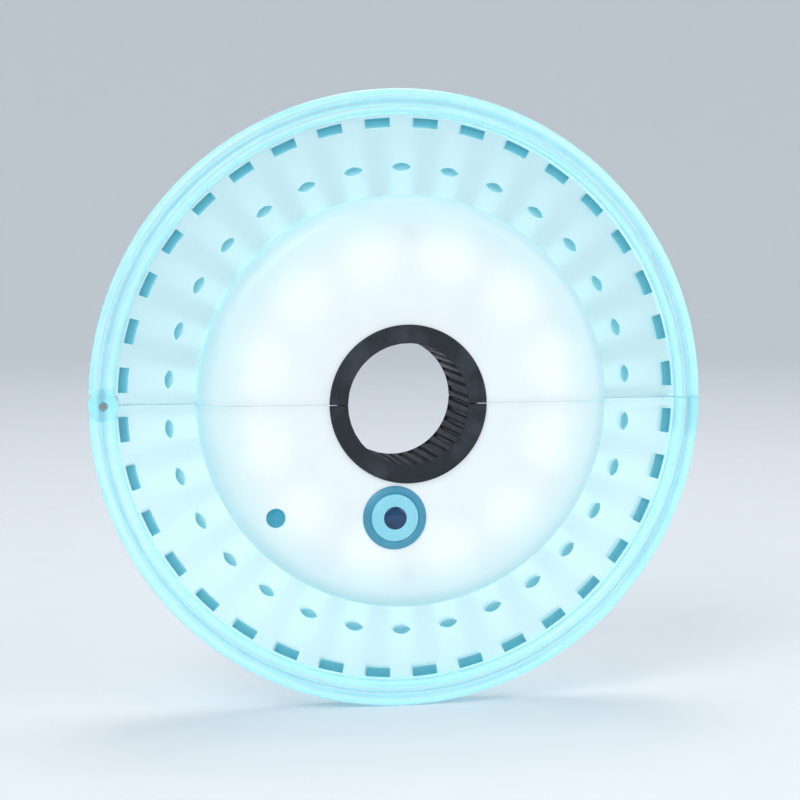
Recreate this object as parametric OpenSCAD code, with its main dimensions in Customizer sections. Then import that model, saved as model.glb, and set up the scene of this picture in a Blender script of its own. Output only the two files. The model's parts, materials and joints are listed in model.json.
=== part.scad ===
// Hub light for a spoked wheel: two hinged half discs that close round the hub.
// Each piece is drawn in the face frame: x to the right, y up, z out of the front face.
// stand() then sets the disc upright, with the hub axis along Y and the front face towards -Y.

/* [Disc] */
// Outer diameter of the rim
disc_d = 145; // [140:1:156]
// Radial width of the raised rim
rim_w = 6; // [5.6:0.2:7]
// Thickness of the raised rim
rim_t = 8; // [7:0.5:10]
// Radius of the rounded edges of the rim
rim_round = 1.6; // [1:0.1:1.7]
// Width of the ring groove in each face of the rim
rim_groove_w = 1.8; // [1:0.1:2]
// Depth of that groove
rim_groove_depth = 0.5; // [0.3:0.1:0.7]
// Thickness of the clear plate inside the rim
plate_t = 4.4; // [4.2:0.2:5.4]

/* [Dashes and light pockets] */
// Dashes round the whole disc
dash_count = 36; // [24:2:40]
// Length of a dash along the ring
dash_l = 5.8; // [4:0.2:6.4]
// Radial width of a dash
dash_w = 2.2; // [1.4:0.2:2.6]
// Depth of a dash in each face of the plate
dash_depth = 1.2; // [0.6:0.1:1.5]
// Plate left between the dashes and the rim
dash_rim_gap = 0.7; // [0.5:0.1:1.2]
// Lens shaped light pockets round the whole disc
pocket_count = 30; // [20:2:36]
// Length of a light pocket along the ring
pocket_l = 4.4; // [3:0.2:5]
// Radial width of a light pocket
pocket_w = 2; // [1.2:0.2:2.4]
// Distance of the pockets from the edge of the core
pocket_gap = 6.4; // [4:0.2:8]

/* [Core] */
// Outer diameter of the core
core_d = 96; // [94:1:100]
// Thickness of the core over both covers
core_t = 22; // [21:0.5:26]
// Wall of the covers
wall = 1.8; // [1.6:0.1:2]
// Radius of the rounded shoulder of the covers
shoulder = 5; // [4:0.5:5.5]
// Width of the ring on which a cover clamps the plate
foot_w = 2.8; // [2.6:0.1:3.2]
// Thickness of that ring
foot_t = 1.6; // [1.4:0.1:2]
// Gap between the two halves at the split
split_gap = 0.2; // [0.1:0.05:0.3]

/* [Seals] */
// Radial width of a seal
seal_w = 1; // [0.8:0.1:1.2]
// Height of a seal
seal_h = 0.8; // [0.6:0.1:1]

/* [Hub grip] */
// Diameter of the hub that the grips hold
hub_d = 28; // [24:1:30]
// Wall of the grip sleeve
grip_t = 2.2; // [1.6:0.1:2.6]
// Thickness of the grip's end lips
lip_t = 0.9; // [0.6:0.1:1.2]
// Width of the lips beyond the bore of the covers
lip_w = 2; // [1.5:0.1:2.4]

/* [Hinge and clasp] */
// Outer diameter of the hinge knuckles
knuckle_d = 6.8; // [6:0.2:7.4]
// Length of the whole hinge
hinge_l = 12.4; // [11:0.2:14]
// Length of the middle knuckle
middle_l = 4.2; // [3.6:0.2:4.6]
// Diameter of the hinge pin
pin_d = 2; // [1.6:0.1:2.4]
// Length of the clasp tab along the rim
tab_l = 8.2; // [6:0.2:9]
// Width of the clasp tab
tab_w = 4; // [3:0.2:4.2]
// Thickness of the clasp tab
tab_t = 2; // [1.6:0.1:2.2]

/* [Button] */
// Diameter of the power button
button_d = 11; // [9:0.5:12]
// Direction of the button, counted anticlockwise from the right
button_angle = 263; // [258:1:268]
// Width of the bezel ring round the button
bezel_w = 1.8; // [1.6:0.1:2.2]
// Height of the bezel above the face
bezel_h = 0.9; // [0.6:0.1:1.2]
// Height of the button's crown above the bezel
crown_h = 0.8; // [0.6:0.1:1.2]
// Travel of the button
button_travel = 0.6; // [0.4:0.1:0.7]
// Diameter of the dark centre of the button
inlay_d = 5.2; // [4:0.2:6]

/* [Light sensor] */
// Direction of the sensor window
sensor_angle = 220; // [216:1:228]
// Diameter of the window
window_d = 4.4; // [3.6:0.2:4.6]

/* [Board and lamps] */
// Thickness of the circuit boards
board_t = 1.6; // [1.2:0.2:1.6]
// Edge lamps round the whole disc
edge_led_count = 30; // [24:2:32]
// Length of an edge lamp along the ring
edge_led_l = 3; // [2:0.2:3.6]
// Radial depth of an edge lamp
edge_led_w = 1.4; // [1:0.1:1.6]
// Height of an edge lamp
edge_led_h = 1.2; // [0.8:0.1:1.2]
// Length of a face lamp along the ring
face_led_l = 3.5; // [2:0.1:3.6]
// Radial width of a face lamp
face_led_w = 2.8; // [1.6:0.1:3]
// Height of a face lamp
face_led_h = 0.9; // [0.6:0.1:1.2]
// Distance of the face lamps from the screw tubes
face_led_gap = 0.1; // [0.1:0.1:1]

/* [Battery] */
// Length of a cell along the ring
cell_l = 28; // [22:1:29]
// Radial width of a cell
cell_w = 18; // [14:1:18]
// Thickness of the foam pads on both sides of a cell
pad_t = 0.6; // [0.4:0.1:0.8]

/* [Charging port] */
// Width of the port's recess
recess_w = 15; // [14:0.5:16]
// Height of the recess
recess_h = 8.4; // [8:0.2:9]
// Thickness of the port door
door_t = 1.8; // [1.6:0.1:2]
// Depth of the plug on the door
plug_depth = 0.7; // [0.5:0.1:0.9]

/* [Screws] */
// Diameter of the screws
screw_d = 2; // [1.8:0.1:2.2]
// Diameter of the screw heads
head_d = 3.8; // [3.4:0.1:4]
// Height of the screw heads
head_h = 1.5; // [1.2:0.1:1.6]
// Diameter of the screw posts
post_d = 5.2; // [5:0.1:5.4]

/* [Hidden] */
$fn = 96;

// The two halves: which side of the split plane each one is on
upper = 1;
lower = -1;
// Longer than anything on the disc
reach = disc_d;
// How far a cutter runs past the face that it cuts
past = 1;
// Overlap of joined solids
bite = 0.2;

// Clearances
running = 0.05;
loose = 0.1;
swing_clear = 0.3;
tab_clear = 0.45;
contact_clear = 0.04;

// Disc
disc_r = disc_d / 2;
rim_in_r = disc_r - rim_w;
rim_mid_r = disc_r - rim_w / 2;
groove_r = (pow(rim_groove_w / 2, 2) + pow(rim_groove_depth, 2)) / (2 * rim_groove_depth);
dash_r = rim_in_r - dash_rim_gap - dash_w / 2;
dash_turn = arc_turn(dash_l, dash_r);

// Core
core_r = core_d / 2;
core_h = core_t / 2;
roof = core_h - wall;
guide_in_r = core_r - foot_w;
lamp_gap = 0.6;
foot_in_r = guide_in_r - lamp_gap;
foot_top = plate_t / 2 + foot_t;
pocket_r = core_r + pocket_gap;
pocket_arc_r = (pow(pocket_l / 2, 2) + pow(pocket_w / 2, 2)) / pocket_w;
seal_r = core_r - foot_w / 2;
split_wall = split_gap / 2 + wall;

// Hub grip
hub_r = hub_d / 2;
bore_r = hub_r + grip_t + loose;
lip_r = bore_r + lip_w;

// Hinge and clasp
hinge_x = disc_r - knuckle_d / 2;
wedge_turn = 40;
tab_turn = arc_turn(tab_l, disc_r);
tab_root_turn = 3;
tab_drop = 0.15;
nail_r = 5;
nail_depth = 1.4;

// Board and lamps
board_gap = 0.5;
board_in_r = bore_r + wall + board_gap;
edge_led_out_r = guide_in_r - lamp_gap;
edge_led_r = edge_led_out_r - edge_led_w / 2;
edge_led_overhang = 0.3;
board_out_r = edge_led_out_r - edge_led_overhang;
board_w = board_out_r - board_in_r;
board_edge = split_wall + board_gap;
upper_front_leds = [15, 45, 75, 105, 135, 165];
upper_rear_leds = [90];
lower_front_leds = [195, 225, 255, 285, 315, 345];
lower_rear_leds = [200, 250, 290, 340];

// Screws
post_gap = 1.1;
screw_r = edge_led_out_r - edge_led_w - post_gap - post_d / 2;
screw_turns = [12, 90, 168];
head_sink = 0.4;
head_seat = core_h - head_h - head_sink;
tip_cover = 2;
tube_wall = 0.9;
tip_room = 0.5;
screw_tip = roof - tip_cover;
tube_d = head_d + 4 * loose + 2 * tube_wall;
face_led_r = screw_r - tube_d / 2 - face_led_gap - face_led_w / 2;

// Button, bezel and the switch below it
bezel_bore_d = button_d + 2 * loose;
bezel_d = bezel_bore_d + 2 * bezel_w;
bezel_tube_wall = 1;
bezel_tube_d = bezel_bore_d + 2 * bezel_tube_wall;
face_gap = 0.7;
button_r = lip_r + face_gap + bezel_d / 2;
bezel_clip = 0.3;
bezel_foot = roof - bezel_clip;
flange_w = 0.8;
flange_d = button_d + 2 * flange_w;
flange_t = 1;
flange_top = bezel_foot - loose;
button_foot = flange_top - flange_t;
crown_top = core_h + bezel_h + crown_h;
crown_ball_r = (pow(button_d / 2, 2) + pow(crown_h, 2)) / (2 * crown_h);
stem_d = 4;
inlay_t = 1.2;
switch_w = 4.5;
switch_h = 3.5;
switch_top = board_t / 2 + switch_h;
plunger_d = 2.6;
plunger_out = 1.3;
plunger_in = 1;
plunger_top = switch_top + plunger_out;

// Light sensor
window_lip_w = 0.7;
window_lip_d = window_d + 2 * window_lip_w;
window_lip_t = 0.6;
sensor_r = core_r - shoulder - window_lip_d / 2 - loose;
sensor_size = [2, 2, 0.9];

// Charging port, on the rear face straight below the hub
port_y = -(board_in_r + screw_r - tube_d / 2) / 2;
door_gap = 0.1;
recess_depth = door_t + 2 * door_gap;
recess_round = 1.6;
port_floor = core_h - recess_depth;
port_boss_edge = 1.5;
port_boss = [recess_w + 2 * port_boss_edge, recess_h + 2 * port_boss_edge];
port_boss_t = 1.6;
usb_w = 8.94;
usb_h = 3.26;
usb_wall = 0.3;
plug_room = 0.3;
usb_mouth = port_floor - plug_depth - plug_room;
usb_base = board_t / 2 + 1.4;
tongue_size = [6.7, 0.7, 4.6];
door_side_gap = 0.25;
door_w = recess_w - 2 * door_side_gap;
recess_top = port_y + recess_h / 2;
door_axis_y = recess_top - swing_clear - door_t / 2;
door_axis_z = -(port_floor + door_gap + door_t / 2);
door_h = door_axis_y - (port_y - recess_h / 2) - door_side_gap;
stub_d = 1;
stub_l = 0.8;

// Parts on the boards
chip_size = [5, 5, 0.9];
chip_place = [on_ring(0.48), 315];
charge_size = [3, 2.6, 1];
charge_place = [on_ring(0.2), 325];
shaker_d = 4.6;
shaker_l = 10;
shaker_place = [on_ring(0.52), 225];

// Battery, behind the upper board
cell_turns = [45, 135];
cell_gap = 0.5;
cell_r = sqrt(pow(foot_in_r - cell_gap, 2) - pow(cell_l / 2, 2)) - cell_w / 2;
cell_front = board_t / 2 + pad_t;
cell_back = roof - pad_t;
pad_inset = 2;
cell_tab_w = 3;
cell_tab_t = 0.25;
cell_tab_foot = 2.6;
cell_tab_offset = 4;

// Contacts in the split walls
contact_d = 3;
contact_z = 6;
contact_xs = [-on_ring(0.35), -on_ring(0.7)];
contact_head_d = 4.2;
contact_head_t = 0.6;
strip_w = 1.6;
strip_t = 0.4;
contact_foot = 2;

frost = "azure";
clear = "paleturquoise";
rubber = "dimgray";
board_green = "seagreen";
lamp_white = "ivory";
steel = "silver";
brass = "gold";

function arc_turn(length, r) = length / r * 180 / PI;
// Distance from the hub axis at a share of the board's width
function on_ring(share) = board_in_r + share * board_w;
function half_turns(count, side) = [for (i = [0 : count / 2 - 1]) side * (i + 0.5) * 360 / count];

module stand() {
  rotate([90, 0, 0]) children();
}

module place(r, turn) {
  rotate([0, 0, turn]) translate([r, 0, 0]) children();
}

// Everything on one side of the split plane, from inset outwards
module half_block(side, inset) {
  translate([-reach, side > 0 ? inset : -inset - reach, -reach]) cube([2 * reach, reach, 2 * reach]);
}

// An outline turned round the hub axis, kept on one side of the split
module half_ring(side, inset) {
  intersection() {
    rotate_extrude() children();
    half_block(side, inset);
  }
}

module rounded_rect(w, h, r) {
  square([w, h - 2 * r], center = true);
  square([w - 2 * r, h], center = true);
  for (x = [-1, 1], y = [-1, 1]) translate([x * (w / 2 - r), y * (h / 2 - r)]) circle(r);
}

// Hangs from its top edge, with round lower corners
module hanging_plate(w, h, r) {
  translate([-w / 2, r - h]) square([w, h - r]);
  translate([r - w / 2, -h]) square([w - 2 * r, h]);
  for (x = [-1, 1]) translate([x * (w / 2 - r), r - h]) circle(r);
}

module stadium(w, h) {
  square([w - h, h], center = true);
  for (x = [-1, 1]) translate([x * (w - h) / 2, 0]) circle(d = h);
}

// Both faces of the plate, for a cut that goes depth deep
module both_faces(depth) {
  for (face = [0, 1]) mirror([0, 0, face]) translate([0, 0, plate_t / 2 - depth]) children();
}

// Light guide: clear plate with a raised rim, dashes and light pockets
module guide_outline() {
  difference() {
    union() {
      translate([guide_in_r, -plate_t / 2]) square([rim_mid_r - guide_in_r, plate_t]);
      translate([rim_mid_r, 0]) rounded_rect(rim_w, rim_t, rim_round);
    }
    for (z = [-1, 1]) translate([rim_mid_r, z * (rim_t / 2 + groove_r - rim_groove_depth)]) circle(groove_r);
  }
}

module dash_cut() {
  rotate([0, 0, -dash_turn / 2]) rotate_extrude(angle = dash_turn) translate([dash_r - dash_w / 2, 0])
    square([dash_w, dash_depth + past]);
}

module pocket_cut() {
  intersection_for (s = [-1, 1])
    translate([s * (pocket_arc_r - pocket_w / 2), 0, 0]) cylinder(r = pocket_arc_r, h = dash_depth + past);
}

module at_hinge() {
  translate([-hinge_x, 0, 0]) children();
}

// Room that the other half's knuckles need, and a wedge outside the axis so that the rims can swing
module hinge_room(side) {
  room_d = knuckle_d + 2 * swing_clear;
  linear_extrude(reach, center = true)
    polygon([[0, 0], [-reach, 0], [-reach, side * reach * tan(wedge_turn)]]);
  if (side == upper) cylinder(d = room_d, h = middle_l + 2 * loose, center = true);
  if (side == lower) for (z = [0, 1]) mirror([0, 0, z]) translate([0, 0, middle_l / 2])
    cylinder(d = room_d, h = reach);
}

module knuckles(side) {
  outer_from = middle_l / 2 + loose;
  if (side == lower) cylinder(d = knuckle_d, h = middle_l, center = true);
  if (side == upper) for (z = [0, 1]) mirror([0, 0, z]) translate([0, 0, outer_from])
    cylinder(d = knuckle_d, h = hinge_l / 2 - outer_from);
}

// Arc along the rim, from one direction to another
module rim_arc(from, to, in_r, out_r, width) {
  rotate([0, 0, from]) rotate_extrude(angle = to - from) translate([in_r, -width / 2])
    square([out_r - in_r, width]);
}

module light_guide(side) {
  pin_hole_d = side == upper ? pin_d + 2 * running : pin_d;
  tab_out_r = disc_r - tab_drop;
  tab_in_r = tab_out_r - tab_t;
  channel_w = tab_w + 2 * swing_clear;
  channel_turn = tab_turn + arc_turn(tab_clear, disc_r);
  difference() {
    union() {
      difference() {
        half_ring(side, split_gap / 2) guide_outline();
        at_hinge() hinge_room(side);
      }
      at_hinge() knuckles(side);
      if (side == upper) rim_arc(-tab_turn, tab_root_turn, tab_in_r, tab_out_r, tab_w);
    }
    at_hinge() cylinder(d = pin_hole_d, h = hinge_l + 2 * past, center = true);
    if (side == lower) {
      rim_arc(-channel_turn, tab_root_turn, tab_in_r - tab_clear, disc_r + past, channel_w);
      place(disc_r + nail_r - nail_depth, -channel_turn) cylinder(r = nail_r, h = channel_w, center = true);
    }
    for (turn = half_turns(dash_count, side)) rotate([0, 0, turn]) both_faces(dash_depth) dash_cut();
    for (turn = half_turns(pocket_count, side)) place(pocket_r, turn) both_faces(dash_depth) pocket_cut();
  }
}

// Covers: half shells that clamp the plate between them
module cover_outline() {
  difference() {
    union() {
      translate([bore_r, 0]) square([core_r - shoulder - bore_r, core_h]);
      translate([bore_r, 0]) square([core_r - bore_r, core_h - shoulder]);
      translate([core_r - shoulder, core_h - shoulder]) circle(shoulder);
    }
    translate([foot_in_r, -reach]) square([reach, reach + plate_t / 2]);
    translate([0, -reach]) square([reach, reach]);
  }
}

module cavity_outline() {
  in_r = bore_r + wall;
  out_r = core_r - wall;
  inner_round = shoulder - wall;
  difference() {
    union() {
      translate([in_r, -past]) square([out_r - inner_round - in_r, roof + past]);
      translate([in_r, -past]) square([out_r - in_r, roof - inner_round + past]);
      translate([out_r - inner_round, roof - inner_round]) circle(inner_round);
    }
    translate([foot_in_r, -reach]) square([reach, reach + foot_top]);
  }
}

module seal_outline(w, h) {
  translate([seal_r - w / 2, plate_t / 2]) square([w, h]);
}

module cover_shell(side) {
  difference() {
    half_ring(side, split_gap / 2) cover_outline();
    half_ring(side, split_wall) cavity_outline();
    half_ring(side, split_wall / 2) seal_outline(seal_w + 2 * running, seal_h + running);
  }
}

module at_screws(side) {
  for (turn = screw_turns) place(screw_r, side * turn) children();
}

module at_button() {
  place(button_r, button_angle) children();
}

module at_sensor() {
  place(sensor_r, sensor_angle) children();
}

module front_cover(side) {
  difference() {
    union() {
      cover_shell(side);
      at_screws(side) translate([0, 0, board_t / 2]) cylinder(d = post_d, h = roof + bite - board_t / 2);
    }
    at_screws(side) cylinder(d = screw_d + 2 * running, h = screw_tip + tip_room);
    for (x = contact_xs) translate([x, 0, contact_z]) rotate([-90 * side, 0, 0])
      cylinder(d = contact_d + 2 * running, h = split_wall + past);
    if (side == lower) {
      at_button() cylinder(d = bezel_tube_d + 2 * running, h = reach);
      at_sensor() cylinder(d = window_d + 2 * running, h = reach);
    }
  }
}

module at_port() {
  translate([0, port_y, 0]) children();
}

module port_block() {
  from = port_floor - port_boss_t;
  at_port() translate([0, 0, from]) linear_extrude(roof + bite - from) square(port_boss, center = true);
}

module port_cuts() {
  translate([0, recess_top, port_floor]) linear_extrude(recess_depth + past)
    hanging_plate(recess_w, recess_h, recess_round);
  at_port() linear_extrude(reach) stadium(usb_w + 4 * loose, usb_h + 4 * loose);
  translate([0, door_axis_y, -door_axis_z]) rotate([0, 90, 0])
    cylinder(d = stub_d + 2 * running, h = door_w + 2 * stub_l + 2 * loose, center = true);
}

// Drawn towards +z, then mirrored to the rear
module rear_cover(side) {
  mirror([0, 0, 1]) difference() {
    union() {
      cover_shell(side);
      at_screws(side) translate([0, 0, board_t / 2]) cylinder(d = tube_d, h = roof + bite - board_t / 2);
      if (side == lower) port_block();
    }
    at_screws(side) cylinder(d = screw_d + 4 * loose, h = reach);
    at_screws(side) translate([0, 0, head_seat]) cylinder(d = head_d + 4 * loose, h = reach);
    if (side == lower) port_cuts();
  }
}

module seal(side) {
  half_ring(side, split_wall / 2 + loose) seal_outline(seal_w, seal_h);
}

// Silicone half sleeve with a lip on each face of the core
module hub_grip(side) {
  half_ring(side, split_gap / 2) {
    translate([hub_r, -core_h]) square([grip_t, core_t]);
    for (z = [-core_h - lip_t, core_h]) translate([hub_r, z]) square([lip_r - hub_r, lip_t]);
  }
}

module board(side) {
  difference() {
    half_ring(side, board_edge) translate([board_in_r, -board_t / 2])
      square([board_out_r - board_in_r, board_t]);
    at_screws(side) cylinder(d = screw_d + 4 * loose, h = reach, center = true);
  }
}

// A block that stands on the front or the rear face of the board
module on_board(face, size) {
  mirror([0, 0, face == "front" ? 0 : 1]) translate([-size[0] / 2, -size[1] / 2, board_t / 2]) cube(size);
}

module edge_leds(side) {
  size = [edge_led_w, edge_led_l, edge_led_h];
  for (turn = half_turns(edge_led_count, side)) place(edge_led_r, turn) on_board("front", size);
}

module face_leds(front_turns, rear_turns) {
  size = [face_led_w, face_led_l, face_led_h];
  for (turn = front_turns) place(face_led_r, turn) on_board("front", size);
  for (turn = rear_turns) place(face_led_r, turn) on_board("rear", size);
}

module screws(side) {
  at_screws(side) mirror([0, 0, 1]) {
    translate([0, 0, head_seat]) cylinder(d = head_d, h = head_h);
    translate([0, 0, -screw_tip]) cylinder(d = screw_d, h = screw_tip + head_seat + bite);
  }
}

// Brass contact: a stud through the split wall, its head and the strip down to the board
module contacts(side) {
  stud_y = contact_clear / 2;
  head_y = split_wall + contact_head_t;
  for (x = contact_xs) translate([x, 0, 0]) scale([1, side, 1]) {
    translate([0, stud_y, contact_z]) rotate([-90, 0, 0]) cylinder(d = contact_d, h = head_y - stud_y);
    translate([0, split_wall, contact_z]) rotate([-90, 0, 0])
      cylinder(d = contact_head_d, h = contact_head_t);
    translate([-strip_w / 2, head_y - bite, board_t / 2]) {
      cube([strip_w, strip_t + bite, contact_z - board_t / 2]);
      cube([strip_w, contact_foot, strip_t]);
    }
  }
}

module lower_light_guide() {
  color(clear) light_guide(lower);
}

module upper_light_guide() {
  color(clear) light_guide(upper);
}

module lower_front_cover() {
  color(frost) front_cover(lower);
}

module upper_front_cover() {
  color(frost) front_cover(upper);
}

module lower_rear_cover() {
  color(frost) rear_cover(lower);
}

module upper_rear_cover() {
  color(frost) rear_cover(upper);
}

module lower_front_seal() {
  color(rubber) seal(lower);
}

module upper_front_seal() {
  color(rubber) seal(upper);
}

module lower_rear_seal() {
  color(rubber) mirror([0, 0, 1]) seal(lower);
}

module upper_rear_seal() {
  color(rubber) mirror([0, 0, 1]) seal(upper);
}

module lower_hub_grip() {
  color(rubber) hub_grip(lower);
}

module upper_hub_grip() {
  color(rubber) hub_grip(upper);
}

module lower_board() {
  color(board_green) board(lower);
}

module upper_board() {
  color(board_green) board(upper);
}

module lower_edge_leds() {
  color(lamp_white) edge_leds(lower);
}

module upper_edge_leds() {
  color(lamp_white) edge_leds(upper);
}

module lower_face_leds() {
  color(lamp_white) face_leds(lower_front_leds, lower_rear_leds);
}

module upper_face_leds() {
  color(lamp_white) face_leds(upper_front_leds, upper_rear_leds);
}

module lower_screws() {
  color(steel) screws(lower);
}

module upper_screws() {
  color(steel) screws(upper);
}

module contact_studs() {
  color(brass) contacts(lower);
}

module contact_pads() {
  color(brass) contacts(upper);
}

module hinge_pin() {
  color(steel) at_hinge() cylinder(d = pin_d, h = hinge_l, center = true);
}

module control_chip() {
  color("black") place(chip_place[0], chip_place[1]) on_board("rear", chip_size);
}

module charge_chip() {
  color("black") place(charge_place[0], charge_place[1]) on_board("rear", charge_size);
}

// Spring switch that closes as the wheel shakes: a can lying on the rear of the board
module motion_sensor() {
  color(steel) place(shaker_place[0], shaker_place[1]) translate([0, 0, -board_t / 2 - shaker_d / 2])
    rotate([90, 0, 0]) cylinder(d = shaker_d, h = shaker_l, center = true);
}

module light_sensor() {
  color("black") at_sensor() on_board("front", sensor_size);
}

module sensor_window() {
  color("darkslategray") at_sensor() {
    translate([0, 0, roof - window_lip_t]) cylinder(d = window_lip_d, h = window_lip_t);
    translate([0, 0, roof - bite]) cylinder(d = window_d, h = wall + bite);
  }
}

module switch_base() {
  color("black") at_button() difference() {
    on_board("front", [switch_w, switch_w, switch_top - board_t / 2]);
    translate([0, 0, switch_top - plunger_in - button_travel - loose])
      cylinder(d = plunger_d + 2 * running, h = reach);
  }
}

module switch_plunger() {
  color("lightgray") at_button() translate([0, 0, switch_top - plunger_in])
    cylinder(d = plunger_d, h = plunger_top - switch_top + plunger_in);
}

module button_bezel() {
  color("lightseagreen") at_button() difference() {
    union() {
      translate([0, 0, core_h]) cylinder(d = bezel_d, h = bezel_h);
      translate([0, 0, bezel_foot]) cylinder(d = bezel_tube_d, h = core_h + bite - bezel_foot);
    }
    cylinder(d = bezel_bore_d, h = reach);
  }
}

// Cap with a domed crown, a flange that keeps it in and a stem on the switch
module power_button() {
  color(frost) at_button() difference() {
    union() {
      intersection() {
        translate([0, 0, button_foot]) cylinder(d = button_d, h = reach);
        translate([0, 0, crown_top - crown_ball_r]) sphere(crown_ball_r);
      }
      translate([0, 0, button_foot]) cylinder(d = flange_d, h = flange_t);
      translate([0, 0, plunger_top]) cylinder(d = stem_d, h = button_foot + bite - plunger_top);
    }
    translate([0, 0, crown_top - inlay_t]) cylinder(d = inlay_d + 2 * running, h = reach);
  }
}

module button_inlay() {
  color("darkslategray") at_button() intersection() {
    translate([0, 0, crown_top - inlay_t]) cylinder(d = inlay_d, h = reach);
    translate([0, 0, crown_top - crown_ball_r]) sphere(crown_ball_r);
  }
}

module usb_socket() {
  color(steel) at_port() mirror([0, 0, 1]) difference() {
    translate([0, 0, board_t / 2]) linear_extrude(usb_mouth - board_t / 2) stadium(usb_w, usb_h);
    translate([0, 0, usb_base]) linear_extrude(reach) stadium(usb_w - 2 * usb_wall, usb_h - 2 * usb_wall);
  }
}

module usb_tongue() {
  color("black") at_port() mirror([0, 0, 1]) translate([-tongue_size[0] / 2, -tongue_size[1] / 2, usb_base])
    cube(tongue_size);
}

// Door with a round hinge edge along its top and a stub at each end of it
module port_door() {
  color(frost) translate([0, door_axis_y, door_axis_z]) {
    linear_extrude(door_t, center = true) hanging_plate(door_w, door_h, recess_round - door_side_gap);
    rotate([0, 90, 0]) cylinder(d = door_t, h = door_w, center = true);
    rotate([0, 90, 0]) cylinder(d = stub_d, h = door_w + 2 * stub_l, center = true);
  }
}

// Rubber plug on the inside of the door
module port_plug() {
  plug_top = -door_axis_z - door_t / 2;
  color(rubber) at_port() mirror([0, 0, 1]) translate([0, 0, plug_top - plug_depth])
    linear_extrude(plug_depth) stadium(usb_w - 2 * loose, usb_h - 4 * loose);
}

module cell(turn) {
  place(cell_r, turn) translate([-cell_w / 2, -cell_l / 2, -cell_back])
    cube([cell_w, cell_l, cell_back - cell_front]);
}

module right_cell() {
  color("lightslategray") cell(cell_turns[0]);
}

module left_cell() {
  color("lightslategray") cell(cell_turns[1]);
}

// Foam pads between cell and board and between cell and rear cover
module cell_pads() {
  size = [cell_w - 2 * pad_inset, cell_l - 2 * pad_inset, pad_t];
  color("white") for (turn = cell_turns, z = [-cell_front, -roof])
    place(cell_r, turn) translate([-size[0] / 2, -size[1] / 2, z]) cube(size);
}

// Nickel tabs from the inner ends of the cells to the board
module cell_tabs() {
  cell_mid = (cell_front + cell_back) / 2;
  color(steel) for (m = [0, 1]) mirror([m, 0, 0]) for (u = [-cell_tab_offset, cell_tab_offset])
    place(cell_r + u, cell_turns[0]) translate([-cell_tab_w / 2, cell_l / 2, 0]) {
      translate([0, 0, -cell_mid]) cube([cell_tab_w, cell_tab_t, cell_mid - board_t / 2]);
      translate([0, 0, -board_t / 2 - cell_tab_t]) cube([cell_tab_w, cell_tab_foot, cell_tab_t]);
    }
}

stand() lower_light_guide();
stand() lower_front_cover();
stand() lower_rear_cover();
stand() lower_front_seal();
stand() lower_rear_seal();
stand() lower_hub_grip();
stand() lower_board();
stand() lower_edge_leds();
stand() lower_face_leds();
stand() lower_screws();
stand() control_chip();
stand() charge_chip();
stand() motion_sensor();
stand() light_sensor();
stand() sensor_window();
stand() switch_base();
stand() button_bezel();
stand() usb_socket();
stand() usb_tongue();
stand() contact_studs();
stand() hinge_pin();
stand() power_button();
stand() button_inlay();
stand() switch_plunger();
stand() port_door();
stand() port_plug();
stand() upper_light_guide();
stand() upper_front_cover();
stand() upper_rear_cover();
stand() upper_front_seal();
stand() upper_rear_seal();
stand() upper_hub_grip();
stand() upper_board();
stand() upper_edge_leds();
stand() upper_face_leds();
stand() upper_screws();
stand() left_cell();
stand() right_cell();
stand() cell_pads();
stand() cell_tabs();
stand() contact_pads();
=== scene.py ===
import json
import math

import bmesh
import bpy
from mathutils import Matrix, Vector


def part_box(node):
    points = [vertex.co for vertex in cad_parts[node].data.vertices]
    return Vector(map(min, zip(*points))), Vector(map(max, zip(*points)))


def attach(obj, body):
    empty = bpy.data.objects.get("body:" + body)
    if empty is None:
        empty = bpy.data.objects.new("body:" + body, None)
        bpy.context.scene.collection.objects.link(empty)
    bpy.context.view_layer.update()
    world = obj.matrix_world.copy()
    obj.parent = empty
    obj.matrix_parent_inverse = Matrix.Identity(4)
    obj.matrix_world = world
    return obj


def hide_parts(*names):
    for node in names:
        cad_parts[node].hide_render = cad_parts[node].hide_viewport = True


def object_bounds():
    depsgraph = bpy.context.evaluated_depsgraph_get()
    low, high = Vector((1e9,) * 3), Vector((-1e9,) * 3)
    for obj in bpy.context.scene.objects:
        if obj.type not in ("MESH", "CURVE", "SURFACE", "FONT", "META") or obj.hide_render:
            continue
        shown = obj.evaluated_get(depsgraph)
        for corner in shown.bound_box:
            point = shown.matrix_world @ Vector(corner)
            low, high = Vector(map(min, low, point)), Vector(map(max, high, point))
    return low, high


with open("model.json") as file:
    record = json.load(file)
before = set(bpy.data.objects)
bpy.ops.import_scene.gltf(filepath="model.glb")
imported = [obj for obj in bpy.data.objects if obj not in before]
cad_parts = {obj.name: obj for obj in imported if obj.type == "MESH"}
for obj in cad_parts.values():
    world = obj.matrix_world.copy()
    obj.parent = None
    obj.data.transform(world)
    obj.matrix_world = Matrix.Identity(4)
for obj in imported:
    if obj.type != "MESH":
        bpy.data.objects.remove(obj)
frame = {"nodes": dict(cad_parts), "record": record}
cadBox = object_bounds()
scene = bpy.context.scene
cadNodes = frame["nodes"]
mm = 0.001  # pieces are drawn in millimetres, the frame is in metres
print("frame loaded:", len(cadNodes), "nodes")

# Sizes read off the frame, in metres
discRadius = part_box("upper_light_guide")[1].z
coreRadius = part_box("upper_front_cover")[1].z
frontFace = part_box("upper_front_cover")[0].y
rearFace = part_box("upper_rear_cover")[1].y
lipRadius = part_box("upper_hub_grip")[1].z

# Values that several materials share
polycarbonateIor = 1.585
siliconeIor = 1.41
midNoise = {1: 0.3, 2: 0.7}  # most of a noise texture's values lie between these
patchNoise = {1: 0.35, 2: 0.7}  # the same with more low values, so that wear comes in patches


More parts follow.
